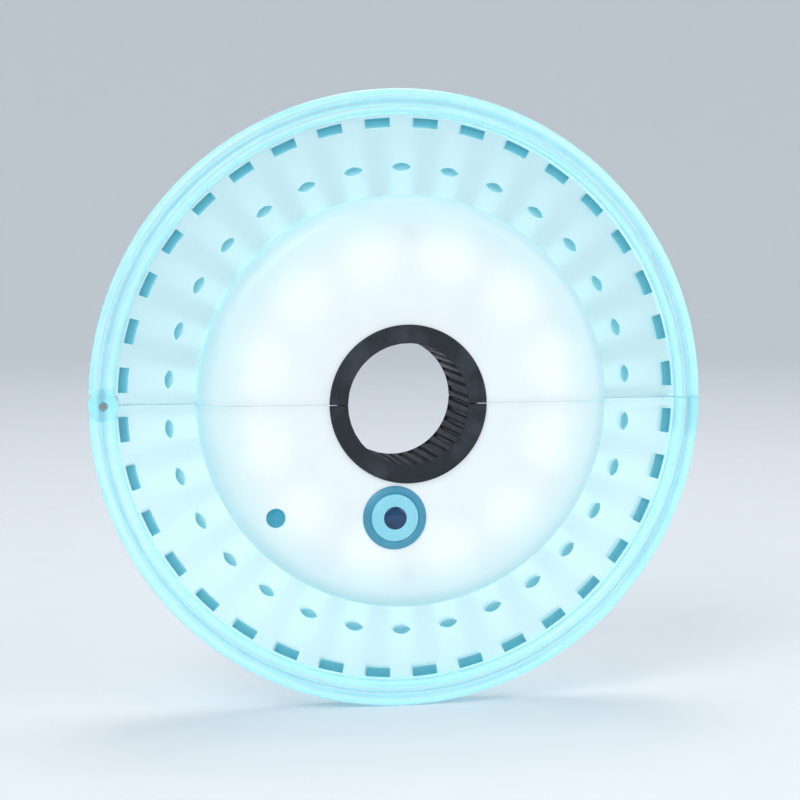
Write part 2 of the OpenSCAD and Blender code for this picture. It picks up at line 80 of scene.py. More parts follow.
def linearColour(code):
    # sRGB hex to the linear values that a shader takes
    parts = [int(code[i:i + 2], 16) / 255 for i in (1, 3, 5)]
    return [c / 12.92 if c <= 0.04045 else ((c + 0.055) / 1.055) ** 2.4 for c in parts] + [1]


def blotches(width):
    # Scale of a noise texture whose blotches are about this wide
    return 0.5 / width


def setInputs(tree, node, inputs):
    for name, value in inputs.items():
        if isinstance(value, bpy.types.Node):
            value = value.outputs[0]
        if isinstance(value, bpy.types.NodeSocket):
            tree.links.new(value, node.inputs[name])
        else:
            node.inputs[name].default_value = value


def addNode(tree, kind, inputs=None, stops=(), **settings):
    node = tree.nodes.new("ShaderNode" + kind)
    for name, value in settings.items():
        setattr(node, name, value)
    for i, (position, colour) in enumerate(stops):
        stop = node.color_ramp.elements[i] if i < 2 else node.color_ramp.elements.new(position)
        stop.position = position
        stop.color = linearColour(colour)
    setInputs(tree, node, inputs or {})
    return node


def startMaterial(name, values):
    material = bpy.data.materials.new(name)
    material.use_nodes = True
    tree = material.node_tree
    tree.nodes.clear()
    shader = addNode(tree, "BsdfPrincipled", values)
    addNode(tree, "OutputMaterial", {"Surface": shader})
    return material, tree, shader


def ringPlace(tree):
    # Object place, the same without its depth, and the distance from the hub's axis
    place = addNode(tree, "TexCoord").outputs["Object"]
    flat = addNode(tree, "VectorMath", {0: place, 1: (1, 0, 1)}, operation="MULTIPLY").outputs[0]
    radius = addNode(tree, "VectorMath", {0: flat}, operation="LENGTH").outputs["Value"]
    return place, flat, radius


# Frosted polycarbonate, moulded in a spark eroded tool: milky and lit from inside. The lamps show as
# soft bright pools, the walls and posts behind it as faint shadows, and the shoulder turns cyan
# where the light thins out.
frostLook = {
    "body": "#c3cfd2",
    "drift": (0.93, 1.0),
    "flow": 7 * mm,
    "glow": [(0.0, "#fbffff"), (0.6, "#f8feff"), (0.86, "#cdf7fb"), (1.0, "#8fe3ef")],
    "light": (0.38, 0.42),  # along the split, and away from it
    "splitWall": 2.2 * mm,
    "lamps": (35 * mm, 12 * mm, 0.1),  # ring, width of a pool, and the light that it adds
    "posts": (39.5 * mm, 3.4 * mm, -0.04),  # ring, width of a shadow, and the light that it takes
    "sunk": (0.4 * mm, 2.5 * mm, 0.5),  # from one depth to the other, the light falls to this share
    "shoulder": (40 * mm, 43 * mm),  # but not from the round shoulder outwards
    "grain": 0.5 * mm,  # real grit is about 0.1 mm, drawn coarser so that it shows
    "relief": 0.05 * mm,
    "rough": (0.34, 0.5),
}


def frostedPolycarbonate(name, faceY, lampTurns, postTurns):
    look = frostLook
    material, tree, shader = startMaterial(name, {"IOR": polycarbonateIor})
    place, _, radius = ringPlace(tree)
    axes = addNode(tree, "SeparateXYZ", {0: place}).outputs
    fromSplit = addNode(tree, "Math", {0: axes["Z"]}, operation="ABSOLUTE")
    atSplit, beyond = look["light"]
    light = addNode(tree, "MapRange", {0: fromSplit, 1: 0, 2: look["splitWall"], 3: atSplit, 4: beyond},
                    interpolation_type="SMOOTHSTEP")
    for marks, turns in (("lamps", lampTurns), ("posts", postTurns)):
        ring, spread, gain = look[marks]
        for turn in turns:
            spot = Matrix.Rotation(-math.radians(turn), 3, "Y") @ Vector((ring, 0, 0))
            spot.y = faceY
            away = addNode(tree, "VectorMath", {0: place, 1: spot}, operation="DISTANCE").outputs["Value"]
            mark = addNode(tree, "MapRange", {0: away, 1: 0, 2: spread, 3: gain, 4: 0},
                           interpolation_type="SMOOTHERSTEP")
            light = addNode(tree, "Math", {0: light, 1: mark}, operation="ADD")
    shallow, deep, least = look["sunk"]
    level = addNode(tree, "Math", {0: axes["Y"]}, operation="ABSOLUTE")
    lit = addNode(tree, "MapRange", {0: level, 1: abs(faceY) - deep, 2: abs(faceY) - shallow,
                                     3: least, 4: 1}, interpolation_type="SMOOTHSTEP")
    inner, outer = look["shoulder"]
    turnedDown = addNode(tree, "MapRange", {0: radius, 1: inner, 2: outer})
    lit = addNode(tree, "Math", {0: lit, 1: turnedDown}, operation="MAXIMUM")
    light = addNode(tree, "Math", {0: light, 1: lit}, operation="MULTIPLY")
    share = addNode(tree, "MapRange", {0: radius, 1: lipRadius, 2: coreRadius})
    glow = addNode(tree, "ValToRGB", {0: share}, stops=look["glow"])
    flow = addNode(tree, "TexNoise", {"Vector": place, "Scale": blotches(look["flow"]), "Detail": 3})
    body = addNode(tree, "MapRange", {0: flow, **midNoise, 3: look["drift"][0], 4: look["drift"][1]})
    tint = addNode(tree, "Mix", {0: 1.0, 6: linearColour(look["body"]), 7: body},
                   data_type="RGBA", blend_type="MULTIPLY")
    grit = addNode(tree, "TexNoise", {"Vector": place, "Scale": blotches(look["grain"]), "Detail": 3})
    rough = addNode(tree, "MapRange", {0: grit, **midNoise, 3: look["rough"][0], 4: look["rough"][1]})
    bump = addNode(tree, "Bump", {"Height": grit, "Strength": 0.5, "Distance": look["relief"]})
    setInputs(tree, shader, {"Base Color": tint.outputs[2], "Emission Color": glow,
                             "Emission Strength": light, "Roughness": rough, "Normal": bump})
    return material


# Clear polycarbonate, moulded and polished: a light guide. It is clear with a faint cyan cast, and each
# edge lamp shines into it as a beam that fades outwards. The faces where the halves part are left matt.
guideLook = {
    "body": "#e4f8fa",
    "glow": "#c9f8fd",
    "clearness": 0.72,
    "lamps": 30,
    "beam": 0.09,
    "beamEnd": 0.1,  # share of a beam that is left at the rim
    "rimInner": 66.5 * mm,
    "wear": 1.5 * mm,
}


def clearPolycarbonate(name, base, smooth, worn):
    look = guideLook
    material, tree, shader = startMaterial(name, {
        "IOR": polycarbonateIor, "Transmission Weight": look["clearness"],
        "Base Color": linearColour(look["body"]), "Emission Color": linearColour(look["glow"])})
    place, _, radius = ringPlace(tree)
    axes = addNode(tree, "SeparateXYZ", {0: place})
    turn = addNode(tree, "Math", {0: axes.outputs["Z"], 1: axes.outputs["X"]}, operation="ARCTAN2")
    turns = addNode(tree, "Math", {0: turn, 1: look["lamps"]}, operation="MULTIPLY")
    wave = addNode(tree, "Math", {0: turns}, operation="COSINE")
    beam = addNode(tree, "MapRange", {0: wave, 1: 1, 2: -1, 3: 0, 4: look["beam"]},
                   interpolation_type="SMOOTHSTEP")
    fade = addNode(tree, "MapRange", {0: radius, 1: coreRadius, 2: look["rimInner"], 3: 1,
                                      4: look["beamEnd"]})
    strength = addNode(tree, "Math", {0: beam, 1: fade, 2: base}, operation="MULTIPLY_ADD")
    wear = addNode(tree, "TexNoise", {"Vector": place, "Scale": blotches(look["wear"]), "Detail": 6})
    rough = addNode(tree, "MapRange", {0: wear, **patchNoise, 3: smooth, 4: worn})
    setInputs(tree, shader, {"Emission Strength": strength, "Roughness": rough})
    return material


# The same polycarbonate in the thick rim, where the guided light comes out: two bright crests, a darker
# groove between them, and small scuffs from the hands that mount it
rimLook = {
    "body": "#bfeaf2",
    "scuffed": "#d2f1f6",
    "glow": "#a5efff",
    "clearness": 0.7,
    "groove": 69.5 * mm,
    "crest": (0.2 * mm, 1.6 * mm),  # distance from the groove where the light starts to rise, and is full
    "light": (0.1, 0.32),  # in the groove, and on the crests
    "side": 0.25,  # share of the light that leaves the rim sideways
    "face": (2.2 * mm, 3.7 * mm),  # depth where the side ends, and where the face begins
    "scuff": 2 * mm,
    "rough": (0.1, 0.24),
}


def litRim():
    look = rimLook
    material, tree, shader = startMaterial("clearPolycarbonateRimLit", {
        "IOR": polycarbonateIor, "Transmission Weight": look["clearness"],
        "Emission Color": linearColour(look["glow"])})
    place, _, radius = ringPlace(tree)
    fromGroove = addNode(tree, "Math", {0: radius, 1: look["groove"]}, operation="SUBTRACT")
    offGroove = addNode(tree, "Math", {0: fromGroove}, operation="ABSOLUTE")
    crest = addNode(tree, "MapRange", {0: offGroove, 1: look["crest"][0], 2: look["crest"][1],
                                       3: look["light"][0], 4: look["light"][1]},
                    interpolation_type="SMOOTHSTEP")
    depth = addNode(tree, "SeparateXYZ", {0: place}).outputs["Y"]
    depth = addNode(tree, "Math", {0: depth}, operation="ABSOLUTE")
    facing = addNode(tree, "MapRange", {0: depth, 1: look["face"][0], 2: look["face"][1],
                                        3: look["side"], 4: 1}, interpolation_type="SMOOTHSTEP")
    strength = addNode(tree, "Math", {0: crest, 1: facing}, operation="MULTIPLY")
    scuff = addNode(tree, "TexNoise", {"Vector": place, "Scale": blotches(look["scuff"]), "Detail": 6})
    rough = addNode(tree, "MapRange", {0: scuff, **patchNoise, 3: look["rough"][0], 4: look["rough"][1]})
    tint = addNode(tree, "ValToRGB", {0: scuff}, stops=[(0.4, look["body"]), (0.75, look["scuffed"])])
    setInputs(tree, shader, {"Base Color": tint, "Emission Strength": strength, "Roughness": rough})
    return material


# Cuts in the guide, spark eroded in the mould: matt recesses. Their teal is painted shade where the light
# does not reach, and the painted shade is lighter on the side the light comes from
cutLook = {
    # Painted shade: teal ramps across each ring of cuts, palest on the inner side, where the light comes
    # from
    "dash": [(0.0, "#aae5ed"), (0.3, "#70c6d5"), (0.8, "#59b5c6"), (1.0, "#419dae")],
    "pocket": [(0.0, "#c6eff5"), (0.4, "#9adae5"), (1.0, "#72c2d1")],
    "dashRing": (63.5 * mm, 65.9 * mm),
    "pocketRing": (53.4 * mm, 55.4 * mm),
    "between": 60 * mm,
    "clearness": 0.25,
    "glow": 0.16,
    "grit": 0.3 * mm,
    "relief": 0.03 * mm,
    "rough": (0.3, 0.5),
}


def etchedCuts():
    look = cutLook
    material, tree, shader = startMaterial("polycarbonateEtchedCuts", {
        "IOR": polycarbonateIor, "Transmission Weight": look["clearness"],
        "Emission Strength": look["glow"]})
    place, _, radius = ringPlace(tree)
    # Painted shade: the cuts' colour and their glow are taken from these ramps, by radius
    shadeRamps = []
    for kind in ("pocket", "dash"):
        inner, outer = look[kind + "Ring"]
        share = addNode(tree, "MapRange", {0: radius, 1: inner, 2: outer})
        shadeRamps.append(addNode(tree, "ValToRGB", {0: share}, stops=look[kind]))
    outside = addNode(tree, "Math", {0: radius, 1: look["between"]}, operation="GREATER_THAN")
    paintedShade = addNode(tree, "Mix", {0: outside, 6: shadeRamps[0], 7: shadeRamps[1]}, data_type="RGBA").outputs[2]
    grit = addNode(tree, "TexNoise", {"Vector": place, "Scale": blotches(look["grit"]), "Detail": 3})
    rough = addNode(tree, "MapRange", {0: grit, **midNoise, 3: look["rough"][0], 4: look["rough"][1]})
    bump = addNode(tree, "Bump", {"Height": grit, "Strength": 0.3, "Distance": look["relief"]})
    setInputs(tree, shader, {"Base Color": paintedShade, "Emission Color": paintedShade, "Roughness": rough,
                             "Normal": bump})
    return material


# Silicone rubber, moulded: matt, dark, with a little dust in its pores
siliconeLook = {
    "body": "#23282d",
    "dust": "#454d54",
    "dustPatch": 4 * mm,
    "pore": 0.5 * mm,
    "relief": 0.05 * mm,
    "rough": (0.46, 0.75),
}


def darkSilicone():
    look = siliconeLook
    material, tree, shader = startMaterial("siliconeRubberMoulded", {"IOR": siliconeIor})
    place = addNode(tree, "TexCoord").outputs["Object"]
    pores = addNode(tree, "TexNoise", {"Vector": place, "Scale": blotches(look["pore"]), "Detail": 4})
    dust = addNode(tree, "TexNoise", {"Vector": place, "Scale": blotches(look["dustPatch"]), "Detail": 5})
    tint = addNode(tree, "ValToRGB", {0: dust}, stops=[(0.45, look["body"]), (0.8, look["dust"])])
    rough = addNode(tree, "MapRange", {0: dust, 1: 0.3, 2: 0.75, 3: look["rough"][0], 4: look["rough"][1]})
    bump = addNode(tree, "Bump", {"Height": pores, "Strength": 0.3, "Distance": look["relief"]})
    setInputs(tree, shader, {"Base Color": tint, "Roughness": rough, "Normal": bump})
    return material


# Moulded plastic with a fine satin grain. The colour drifts a little from the flow in the mould, and a
# translucent one lets some light through.
satinLook = {"flow": 5 * mm, "uneven": 0.07, "relief": 0.02 * mm}


def satinPlastic(name, body, rub, rough=0.38, grain=0.3 * mm, ior=1.54, glow="#ffffff", light=0):
    look = satinLook
    material, tree, shader = startMaterial(name, {
        "IOR": ior, "Emission Color": linearColour(glow), "Emission Strength": light})
    place = addNode(tree, "TexCoord").outputs["Object"]
    flow = addNode(tree, "TexNoise", {"Vector": place, "Scale": blotches(look["flow"]), "Detail": 3})
    tint = addNode(tree, "ValToRGB", {0: flow}, stops=[(0.35, body), (0.75, rub)])
    grit = addNode(tree, "TexNoise", {"Vector": place, "Scale": blotches(grain), "Detail": 2})
    polish = addNode(tree, "MapRange", {0: grit, **midNoise, 3: rough - look["uneven"],
                                        4: rough + look["uneven"]})
    bump = addNode(tree, "Bump", {"Height": grit, "Strength": 0.2, "Distance": look["relief"]})
    setInputs(tree, shader, {"Base Color": tint, "Roughness": polish, "Normal": bump})
    return material


# Tinted polycarbonate, polished: deep blue green, a little cloudy below a sharp gloss
tintLook = {"cloud": 2.5 * mm, "rough": (0.05, 0.1)}


def tintedPolycarbonate(name, deep, pale):
    look = tintLook
    material, tree, shader = startMaterial(name, {"IOR": polycarbonateIor})
    place = addNode(tree, "TexCoord").outputs["Object"]
    cloud = addNode(tree, "TexNoise", {"Vector": place, "Scale": blotches(look["cloud"]), "Detail": 2})
    tint = addNode(tree, "ValToRGB", {0: cloud}, stops=[(0.3, deep), (0.75, pale)])
    rough = addNode(tree, "MapRange", {0: cloud, **midNoise, 3: look["rough"][0], 4: look["rough"][1]})
    setInputs(tree, shader, {"Base Color": tint, "Roughness": rough})
    return material


# Silicone gel with phosphor, cast into a lamp's cup: yellow when cold, here lit a cool white
gelLook = {"body": "#e9c94f", "pale": "#f3de86", "glow": "#f2fdff", "light": (0.5, 0.8), "speck": 0.25 * mm}


def phosphorGel():
    look = gelLook
    material, tree, shader = startMaterial("phosphorGelCast", {
        "IOR": siliconeIor, "Roughness": 0.3, "Emission Color": linearColour(look["glow"])})
    place = addNode(tree, "TexCoord").outputs["Object"]
    specks = addNode(tree, "TexNoise", {"Vector": place, "Scale": blotches(look["speck"]), "Detail": 2})
    tint = addNode(tree, "ValToRGB", {0: specks}, stops=[(0.35, look["body"]), (0.7, look["pale"])])
    strength = addNode(tree, "MapRange", {0: specks, **midNoise, 3: look["light"][0], 4: look["light"][1]})
    setInputs(tree, shader, {"Base Color": tint, "Emission Strength": strength})
    return material


# Metal, plated, drawn or rolled: fine lines along one direction and a slightly uneven shine
metalLook = {"spot": 1.2 * mm, "relief": 0.02 * mm, "smoother": 0.08, "rougher": 0.12}


def finishedMetal(name, body, stain, lines, rough=0.3):
    # lines: size of the drawn lines along x, y and z, in millimetres
    look = metalLook
    material, tree, shader = startMaterial(name, {"Metallic": 1})
    place = addNode(tree, "TexCoord").outputs["Object"]
    along = addNode(tree, "Mapping", {"Vector": place, "Scale": [1 / (size * mm) for size in lines]})
    drawn = addNode(tree, "TexNoise", {"Vector": along, "Scale": 1, "Detail": 3})
    spots = addNode(tree, "TexNoise", {"Vector": place, "Scale": blotches(look["spot"]), "Detail": 4})
    tint = addNode(tree, "ValToRGB", {0: spots}, stops=[(0.4, body), (0.8, stain)])
    polish = addNode(tree, "MapRange", {0: drawn, **midNoise, 3: rough - look["smoother"],
                                        4: rough + look["rougher"]})
    bump = addNode(tree, "Bump", {"Height": drawn, "Strength": 0.12, "Distance": look["relief"]})
    setInputs(tree, shader, {"Base Color": tint, "Roughness": polish, "Normal": bump})
    return material


# Glass fibre board under green solder mask: copper traces show as paler, slightly raised lines,
# with tinned vias as small bright dots
boardLook = {
    "mask": "#0c4a33",
    "trace": "#1c7a52",
    "tin": "#c9ccc8",
    "pitch": 1.1 * mm,
    "gap": 0.2,  # a lane is copper where its sine is above this
    "field": 9 * mm,
    "bare": 0.45,  # share of the fields that have no traces
    "via": 3.2 * mm,
    "viaSize": 0.13,  # of the distance between vias
    "scatter": 0.8,
    "relief": 0.035 * mm,
    "rough": (0.32, 0.22),
}


def solderMask():
    look = boardLook
    material, tree, shader = startMaterial("solderMaskBoard", {"IOR": 1.5})
    _, flat, radius = ringPlace(tree)
    lanes = addNode(tree, "Math", {0: radius, 1: math.tau / look["pitch"]}, operation="MULTIPLY")
    lane = addNode(tree, "Math", {0: lanes}, operation="SINE")
    line = addNode(tree, "Math", {0: lane, 1: look["gap"]}, operation="GREATER_THAN")
    fields = addNode(tree, "TexVoronoi", {"Vector": flat, "Scale": 1 / look["field"]})
    field = addNode(tree, "Math", {0: fields.outputs["Color"], 1: look["bare"]}, operation="GREATER_THAN")
    traces = addNode(tree, "Math", {0: line, 1: field}, operation="MULTIPLY")
    holes = addNode(tree, "TexVoronoi", {"Vector": flat, "Scale": 1 / look["via"],
                                         "Randomness": look["scatter"]})
    via = addNode(tree, "Math", {0: holes.outputs["Distance"], 1: look["viaSize"]}, operation="LESS_THAN")
    copper = addNode(tree, "Mix", {0: traces, 6: linearColour(look["mask"]), 7: linearColour(look["trace"])},
                     data_type="RGBA")
    tint = addNode(tree, "Mix", {0: via, 6: copper.outputs[2], 7: linearColour(look["tin"])},
                   data_type="RGBA")
    rough = addNode(tree, "MapRange", {0: traces, 1: 0, 2: 1, 3: look["rough"][0], 4: look["rough"][1]})
    bump = addNode(tree, "Bump", {"Height": traces, "Strength": 0.4, "Distance": look["relief"]})
    setInputs(tree, shader, {"Base Color": tint.outputs[2], "Metallic": via, "Roughness": rough,
                             "Normal": bump})
    return material


# Aluminium laminate, heat sealed round the cell: soft silver with shallow creases
foilLook = {
    "body": "#b4babf",
    "worn": "#969da4",
    "crease": 3 * mm,
    "relief": 0.12 * mm,
    "rough": (0.3, 0.46),
}


def pouchFoil():
    look = foilLook
    material, tree, shader = startMaterial("aluminiumLaminateSealed", {"Metallic": 0.85})
    place = addNode(tree, "TexCoord").outputs["Object"]
    crease = addNode(tree, "TexNoise", {"Vector": place, "Scale": blotches(look["crease"]), "Detail": 5,
                                        "Distortion": 0.6})
    tint = addNode(tree, "ValToRGB", {0: crease}, stops=[(0.35, look["body"]), (0.7, look["worn"])])
    rough = addNode(tree, "MapRange", {0: crease, **midNoise, 3: look["rough"][0], 4: look["rough"][1]})
    bump = addNode(tree, "Bump", {"Height": crease, "Strength": 0.5, "Distance": look["relief"]})
    setInputs(tree, shader, {"Base Color": tint, "Roughness": rough, "Normal": bump})
    return material


# Directions of what shines or shades through the covers, in degrees from the right
screwTurns = [12, 90, 168, 192, 270, 348]
frontLamps = [15 + 30 * i for i in range(12)]
rearLamps = [90, 200, 250, 290, 340]

finish = {
    "frontFrost": frostedPolycarbonate("frostedPolycarbonateFront", frontFace, frontLamps, screwTurns),
    "rearFrost": frostedPolycarbonate("frostedPolycarbonateRear", rearFace, rearLamps, screwTurns),
    "clear": clearPolycarbonate("clearPolycarbonateMoulded", base=0.13, smooth=0.04, worn=0.13),
    "parting": clearPolycarbonate("clearPolycarbonateMatt", base=0.03, smooth=0.4, worn=0.55),
    "rim": litRim(),
    "cuts": etchedCuts(),
    "silicone": darkSilicone(),
    "tealAbs": satinPlastic("tealAbsMoulded", "#469cb8", "#5eaecb"),
    "paleAbs": satinPlastic("paleAbsMoulded", "#b4e2eb", "#c9eef4", rough=0.34),
    "litAbs": satinPlastic("translucentAbsMoulded", "#8fcddc", "#a2dae7", rough=0.34, glow="#6fe6ff",
                           light=0.2),
    "blackNylon": satinPlastic("blackNylonMoulded", "#15181a", "#23272a", rough=0.5),
    "moulding": satinPlastic("epoxyMouldCompound", "#17191b", "#26292c", rough=0.62, grain=0.2 * mm),
    "lampWhite": satinPlastic("whitePolyamideReflector", "#e6e4da", "#f1f0e8", rough=0.45),
    "ceramic": satinPlastic("ceramicCapacitorBody", "#8c7a5c", "#a39070", rough=0.5, grain=0.15 * mm,
                            ior=1.6),
    "tape": satinPlastic("polyimideTape", "#b8741a", "#d08f2c", rough=0.25, grain=0.4 * mm, ior=1.7),
    "foam": satinPlastic("polyetheneFoamCut", "#e9e9e4", "#f5f5f1", rough=0.85, grain=0.6 * mm, ior=1.5),
    "lensTint": tintedPolycarbonate("smokedPolycarbonatePolished", "#003058", "#004c80"),
    "windowTint": tintedPolycarbonate("tealPolycarbonatePolished", "#2c9cb8", "#46b6d0"),
    "phosphor": phosphorGel(),
    "steel": finishedMetal("zincPlatedSteel", "#a9afb4", "#868d93", lines=(0.4, 5, 5)),
    "stainless": finishedMetal("stainlessSteelDrawn", "#b4b7b9", "#96999b", lines=(5, 1 / 3, 5), rough=0.24),
    "nickel": finishedMetal("nickelStripRolled", "#b9b5a8", "#a09c90", lines=(10 / 3, 10 / 3, 0.4),
                            rough=0.28),
    "tin": finishedMetal("tinnedCopper", "#c4c6c4", "#a9aba8", lines=(5 / 3, 5 / 3, 5 / 3), rough=0.34),
    "gold": finishedMetal("goldFlashedCopper", "#d9b45a", "#c19a43", lines=(5 / 3, 5 / 12, 5 / 3),
                          rough=0.22),
    "brass": finishedMetal("brassTurned", "#c9a24f", "#a98338", lines=(10 / 3, 5 / 11, 10 / 3), rough=0.26),
    "foil": pouchFoil(),
    "board": solderMask(),
}

# CAD nodes that stay in view as they are
nodeFinish = {
    "silicone": ["lower_front_seal", "lower_rear_seal", "upper_front_seal", "upper_rear_seal"],
    "board": ["lower_board", "upper_board"],
    "nickel": ["cell_tabs"],
    "brass": ["contact_studs", "contact_pads"],
}
for finishName, members in nodeFinish.items():
    for member in members:
        cadNodes[member].data.materials.clear()
        cadNodes[member].data.materials.append(finish[finishName])
print("materials made:", len(finish))

# New pieces are drawn in the face frame, in millimetres: x right, y up, z out of the front face
standUp = Matrix.Rotation(math.radians(90), 4, "X") @ Matrix.Scale(mm, 4)
toRear = Matrix.Rotation(math.radians(180), 4, "Y")  # turned round, to look out of the rear face
hungBelow = Matrix.Diagonal((1, 1, -1, 1))  # mirrored, for what stands on the rear of a board
bothSides = (-1, 1)


def faceBox(node):
    low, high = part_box(node)
    return Vector((low.x, low.z, -high.y)) / mm, Vector((high.x, high.z, -low.y)) / mm


def onRing(radius, turn, height=0):
    return Matrix.Rotation(math.radians(turn), 4, "Z") @ Matrix.Translation((radius, 0, height))


def seatOf(node, height=0):
    # Middle of a node, turned so that x runs outwards from the hub
    low, high = faceBox(node)
    x, y = ((low + high) / 2).xy
    return onRing(math.hypot(x, y), math.degrees(math.atan2(y, x)), height)


boardHalf = faceBox("lower_board")[1].z  # the boards lie in the middle plane
straight = 0.01  # a plate with round ends keeps this much of its straight sides


def roundEdges(bm, edges, offset, segments, clamped=False):
    bmesh.ops.bevel(bm, geom=edges, offset=offset, segments=segments, profile=0.5, affect="EDGES",
                    material=-1, clamp_overlap=clamped)


def soften(bm, offset, segments=2, limit=35):
    # Rounds every edge that turns by more than the limit, in degrees
    edges = [e for e in bm.edges if e.is_manifold and e.calc_face_angle() > math.radians(limit)]
    roundEdges(bm, edges, offset, segments, clamped=True)


def closeUp(bm):
    bmesh.ops.remove_doubles(bm, verts=bm.verts, dist=1e-4)
    bmesh.ops.holes_fill(bm, edges=[e for e in bm.edges if e.is_boundary], sides=0)
    bmesh.ops.recalc_face_normals(bm, faces=bm.faces)


def paint(bm, index):
    for face in bm.faces:
        face.material_index = index
    return bm


def moved(bm, matrix):
    bmesh.ops.transform(bm, matrix=matrix, verts=bm.verts)
    if matrix.determinant() < 0:
        bmesh.ops.reverse_faces(bm, faces=bm.faces)
    return bm


def spun(outline, steps):
    # outline: radius and height of each corner, from one end of the axis to the other
    bm = bmesh.new()
    verts = [bm.verts.new((r, 0, z)) for r, z in outline]
    edges = [bm.edges.new(pair) for pair in zip(verts, verts[1:])]
    bmesh.ops.spin(bm, geom=verts + edges, cent=(0, 0, 0), axis=(0, 0, 1), angle=math.tau, steps=steps,
                   use_merge=True)
    return bm


def turnedPart(outline, steps=48, edge=0, index=0, segments=2):
    bm = spun(outline, steps)
    closeUp(bm)
    if edge:
        soften(bm, edge, segments)
    return paint(bm, index)


def ringPart(outline, steps=64, edge=0, index=0, segments=2):
    return turnedPart(outline + outline[:1], steps, edge, index, segments)


def blockPart(size, centre=(0, 0, 0), edge=0, index=0, segments=2):
    bm = bmesh.new()
    bmesh.ops.create_cube(bm, size=1, matrix=Matrix.Translation(centre) @ Matrix.Diagonal((*size, 1)))
    if edge:
        soften(bm, edge, segments)
    return paint(bm, index)


def roundedPlate(width, height, thick, corner, edge=0):
    # Lies in the face plane, with round corners
    bm = blockPart((width, height, thick))
    uprights = [e for e in bm.edges if abs(e.verts[0].co.z - e.verts[1].co.z) > thick / 2]
    roundEdges(bm, uprights, corner, 10)
    if edge:
        soften(bm, edge, 3)
    return bm


def makePiece(name, body, parts, finishes, replaced=()):
    whole = bmesh.new()
    for part in parts:
        carrier = bpy.data.meshes.new("carrier")
        part.to_mesh(carrier)
        part.free()
        whole.from_mesh(carrier)
        bpy.data.meshes.remove(carrier)
    bmesh.ops.transform(whole, matrix=standUp, verts=whole.verts)
    mesh = bpy.data.meshes.new(name)
    whole.to_mesh(mesh)
    whole.free()
    mesh.shade_smooth()
    mesh.set_sharp_from_angle(angle=math.radians(50))
    for key in finishes:
        mesh.materials.append(finish[key])
    piece = bpy.data.objects.new(name, mesh)
    scene.collection.objects.link(piece)
    # Flat faces stay flat beside rounded edges
    flatter = piece.modifiers.new("faceWeight", "WEIGHTED_NORMAL")
    flatter.keep_sharp = True
    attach(piece, body)
    if replaced:
        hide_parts(*replaced)
    return piece


# Light guides and covers: the CAD solids with their sharp edges rounded, as a moulding's are
mouldShape = {
    "guideEdge": 0.14,
    "rimEdge": 0.06,
    "coverEdge": 0.16,
    "rimInner": 66.4,
    "beyond": 99,
    "cutInner": 50,
    "cutTop": 2.04,
    "split": 0.5,  # faces this close to the split are where the halves part
    "flat": 0.05,  # faces that turn by less than this, in degrees, become one
    "sharp": 48,  # edges that turn by more than this are rounded
    "merge": 1e-3,
    "collapse": 0.01,
    "sliver": 0.05,
}


def roundedMoulding(node, rings):
    # rings: inner and outer radius, and the rounding of the edges between them
    m = mouldShape
    bm = bmesh.new()
    bm.from_mesh(cadNodes[node].data)
    moved(bm, standUp.inverted())
    bmesh.ops.remove_doubles(bm, verts=bm.verts, dist=m["merge"])
    bmesh.ops.dissolve_limit(bm, angle_limit=math.radians(m["flat"]), verts=bm.verts, edges=bm.edges)
    for inner, outer, edge in rings:
        sharp = [e for e in bm.edges if e.calc_face_angle(0) > math.radians(m["sharp"])
                 and all(inner < v.co.xy.length < outer for v in e.verts)]
        roundEdges(bm, sharp, edge, 2)
        bmesh.ops.dissolve_degenerate(bm, dist=m["collapse"], edges=bm.edges)
    folded = [v for v in bm.verts if len(v.link_edges) == 2
              and min(e.calc_length() for e in v.link_edges) < m["sliver"]]
    bmesh.ops.dissolve_verts(bm, verts=folded)
    return bm


def paintGuide(guide):
    # Indices of the guide's finishes: 0 clear plate, 1 rim, 2 cuts, 3 parting faces
    m = mouldShape
    for face in guide.faces:
        spot = face.calc_center_median()
        if abs(spot.y) < m["split"] and abs(face.normal.y) > 0.9:
            face.material_index = 3
        elif spot.xy.length > m["rimInner"]:
            face.material_index = 1
        elif spot.xy.length > m["cutInner"] and abs(spot.z) < m["cutTop"] and abs(spot.y) > m["split"]:
            face.material_index = 2


def makeMouldings():
    m = mouldShape
    for half in ("upper", "lower"):
        guide = roundedMoulding(half + "_light_guide", [(0, m["rimInner"], m["guideEdge"]),
                                                        (m["rimInner"], m["beyond"], m["rimEdge"])])
        paintGuide(guide)
        makePiece(half + "GuideRing", half + "_half", [guide], ["clear", "rim", "cuts", "parting"],
                  [half + "_light_guide"])
        for side in ("front", "rear"):
            node = half + "_" + side + "_cover"
            shell = roundedMoulding(node, [(0, m["beyond"], m["coverEdge"])])
            makePiece(half + side.title() + "Shell", half + "_half", [shell], [side + "Frost"], [node])


# Pan head screws with a cross recess and a rolled thread
screwShape = {
    "ring": 39.5,
    "headRadius": 1.9,
    "headHeight": 1.5,
    "crown": 0.55,
    "dome": [(1, 1), (0.96, 0.55), (0.85, 0.2), (0.68, 0)],  # shares of the head's radius and of its crown
    "core": 0.74,
    "point": 0.6,
    "thread": 1.0,
    "pitch": 0.75,
    "threadSteps": 14,
    "plain": 0.7,  # length without thread at both ends
    "rooted": 0.05,
    "flank": 0.17,
    "armLong": 1.15,
    "armHalf": 0.27,
    "recess": 0.85,
    "taper": 0.6,
    "firstStop": 0.7,  # each screw's cross stops at its own angle
    "nextStop": 1.1,
}


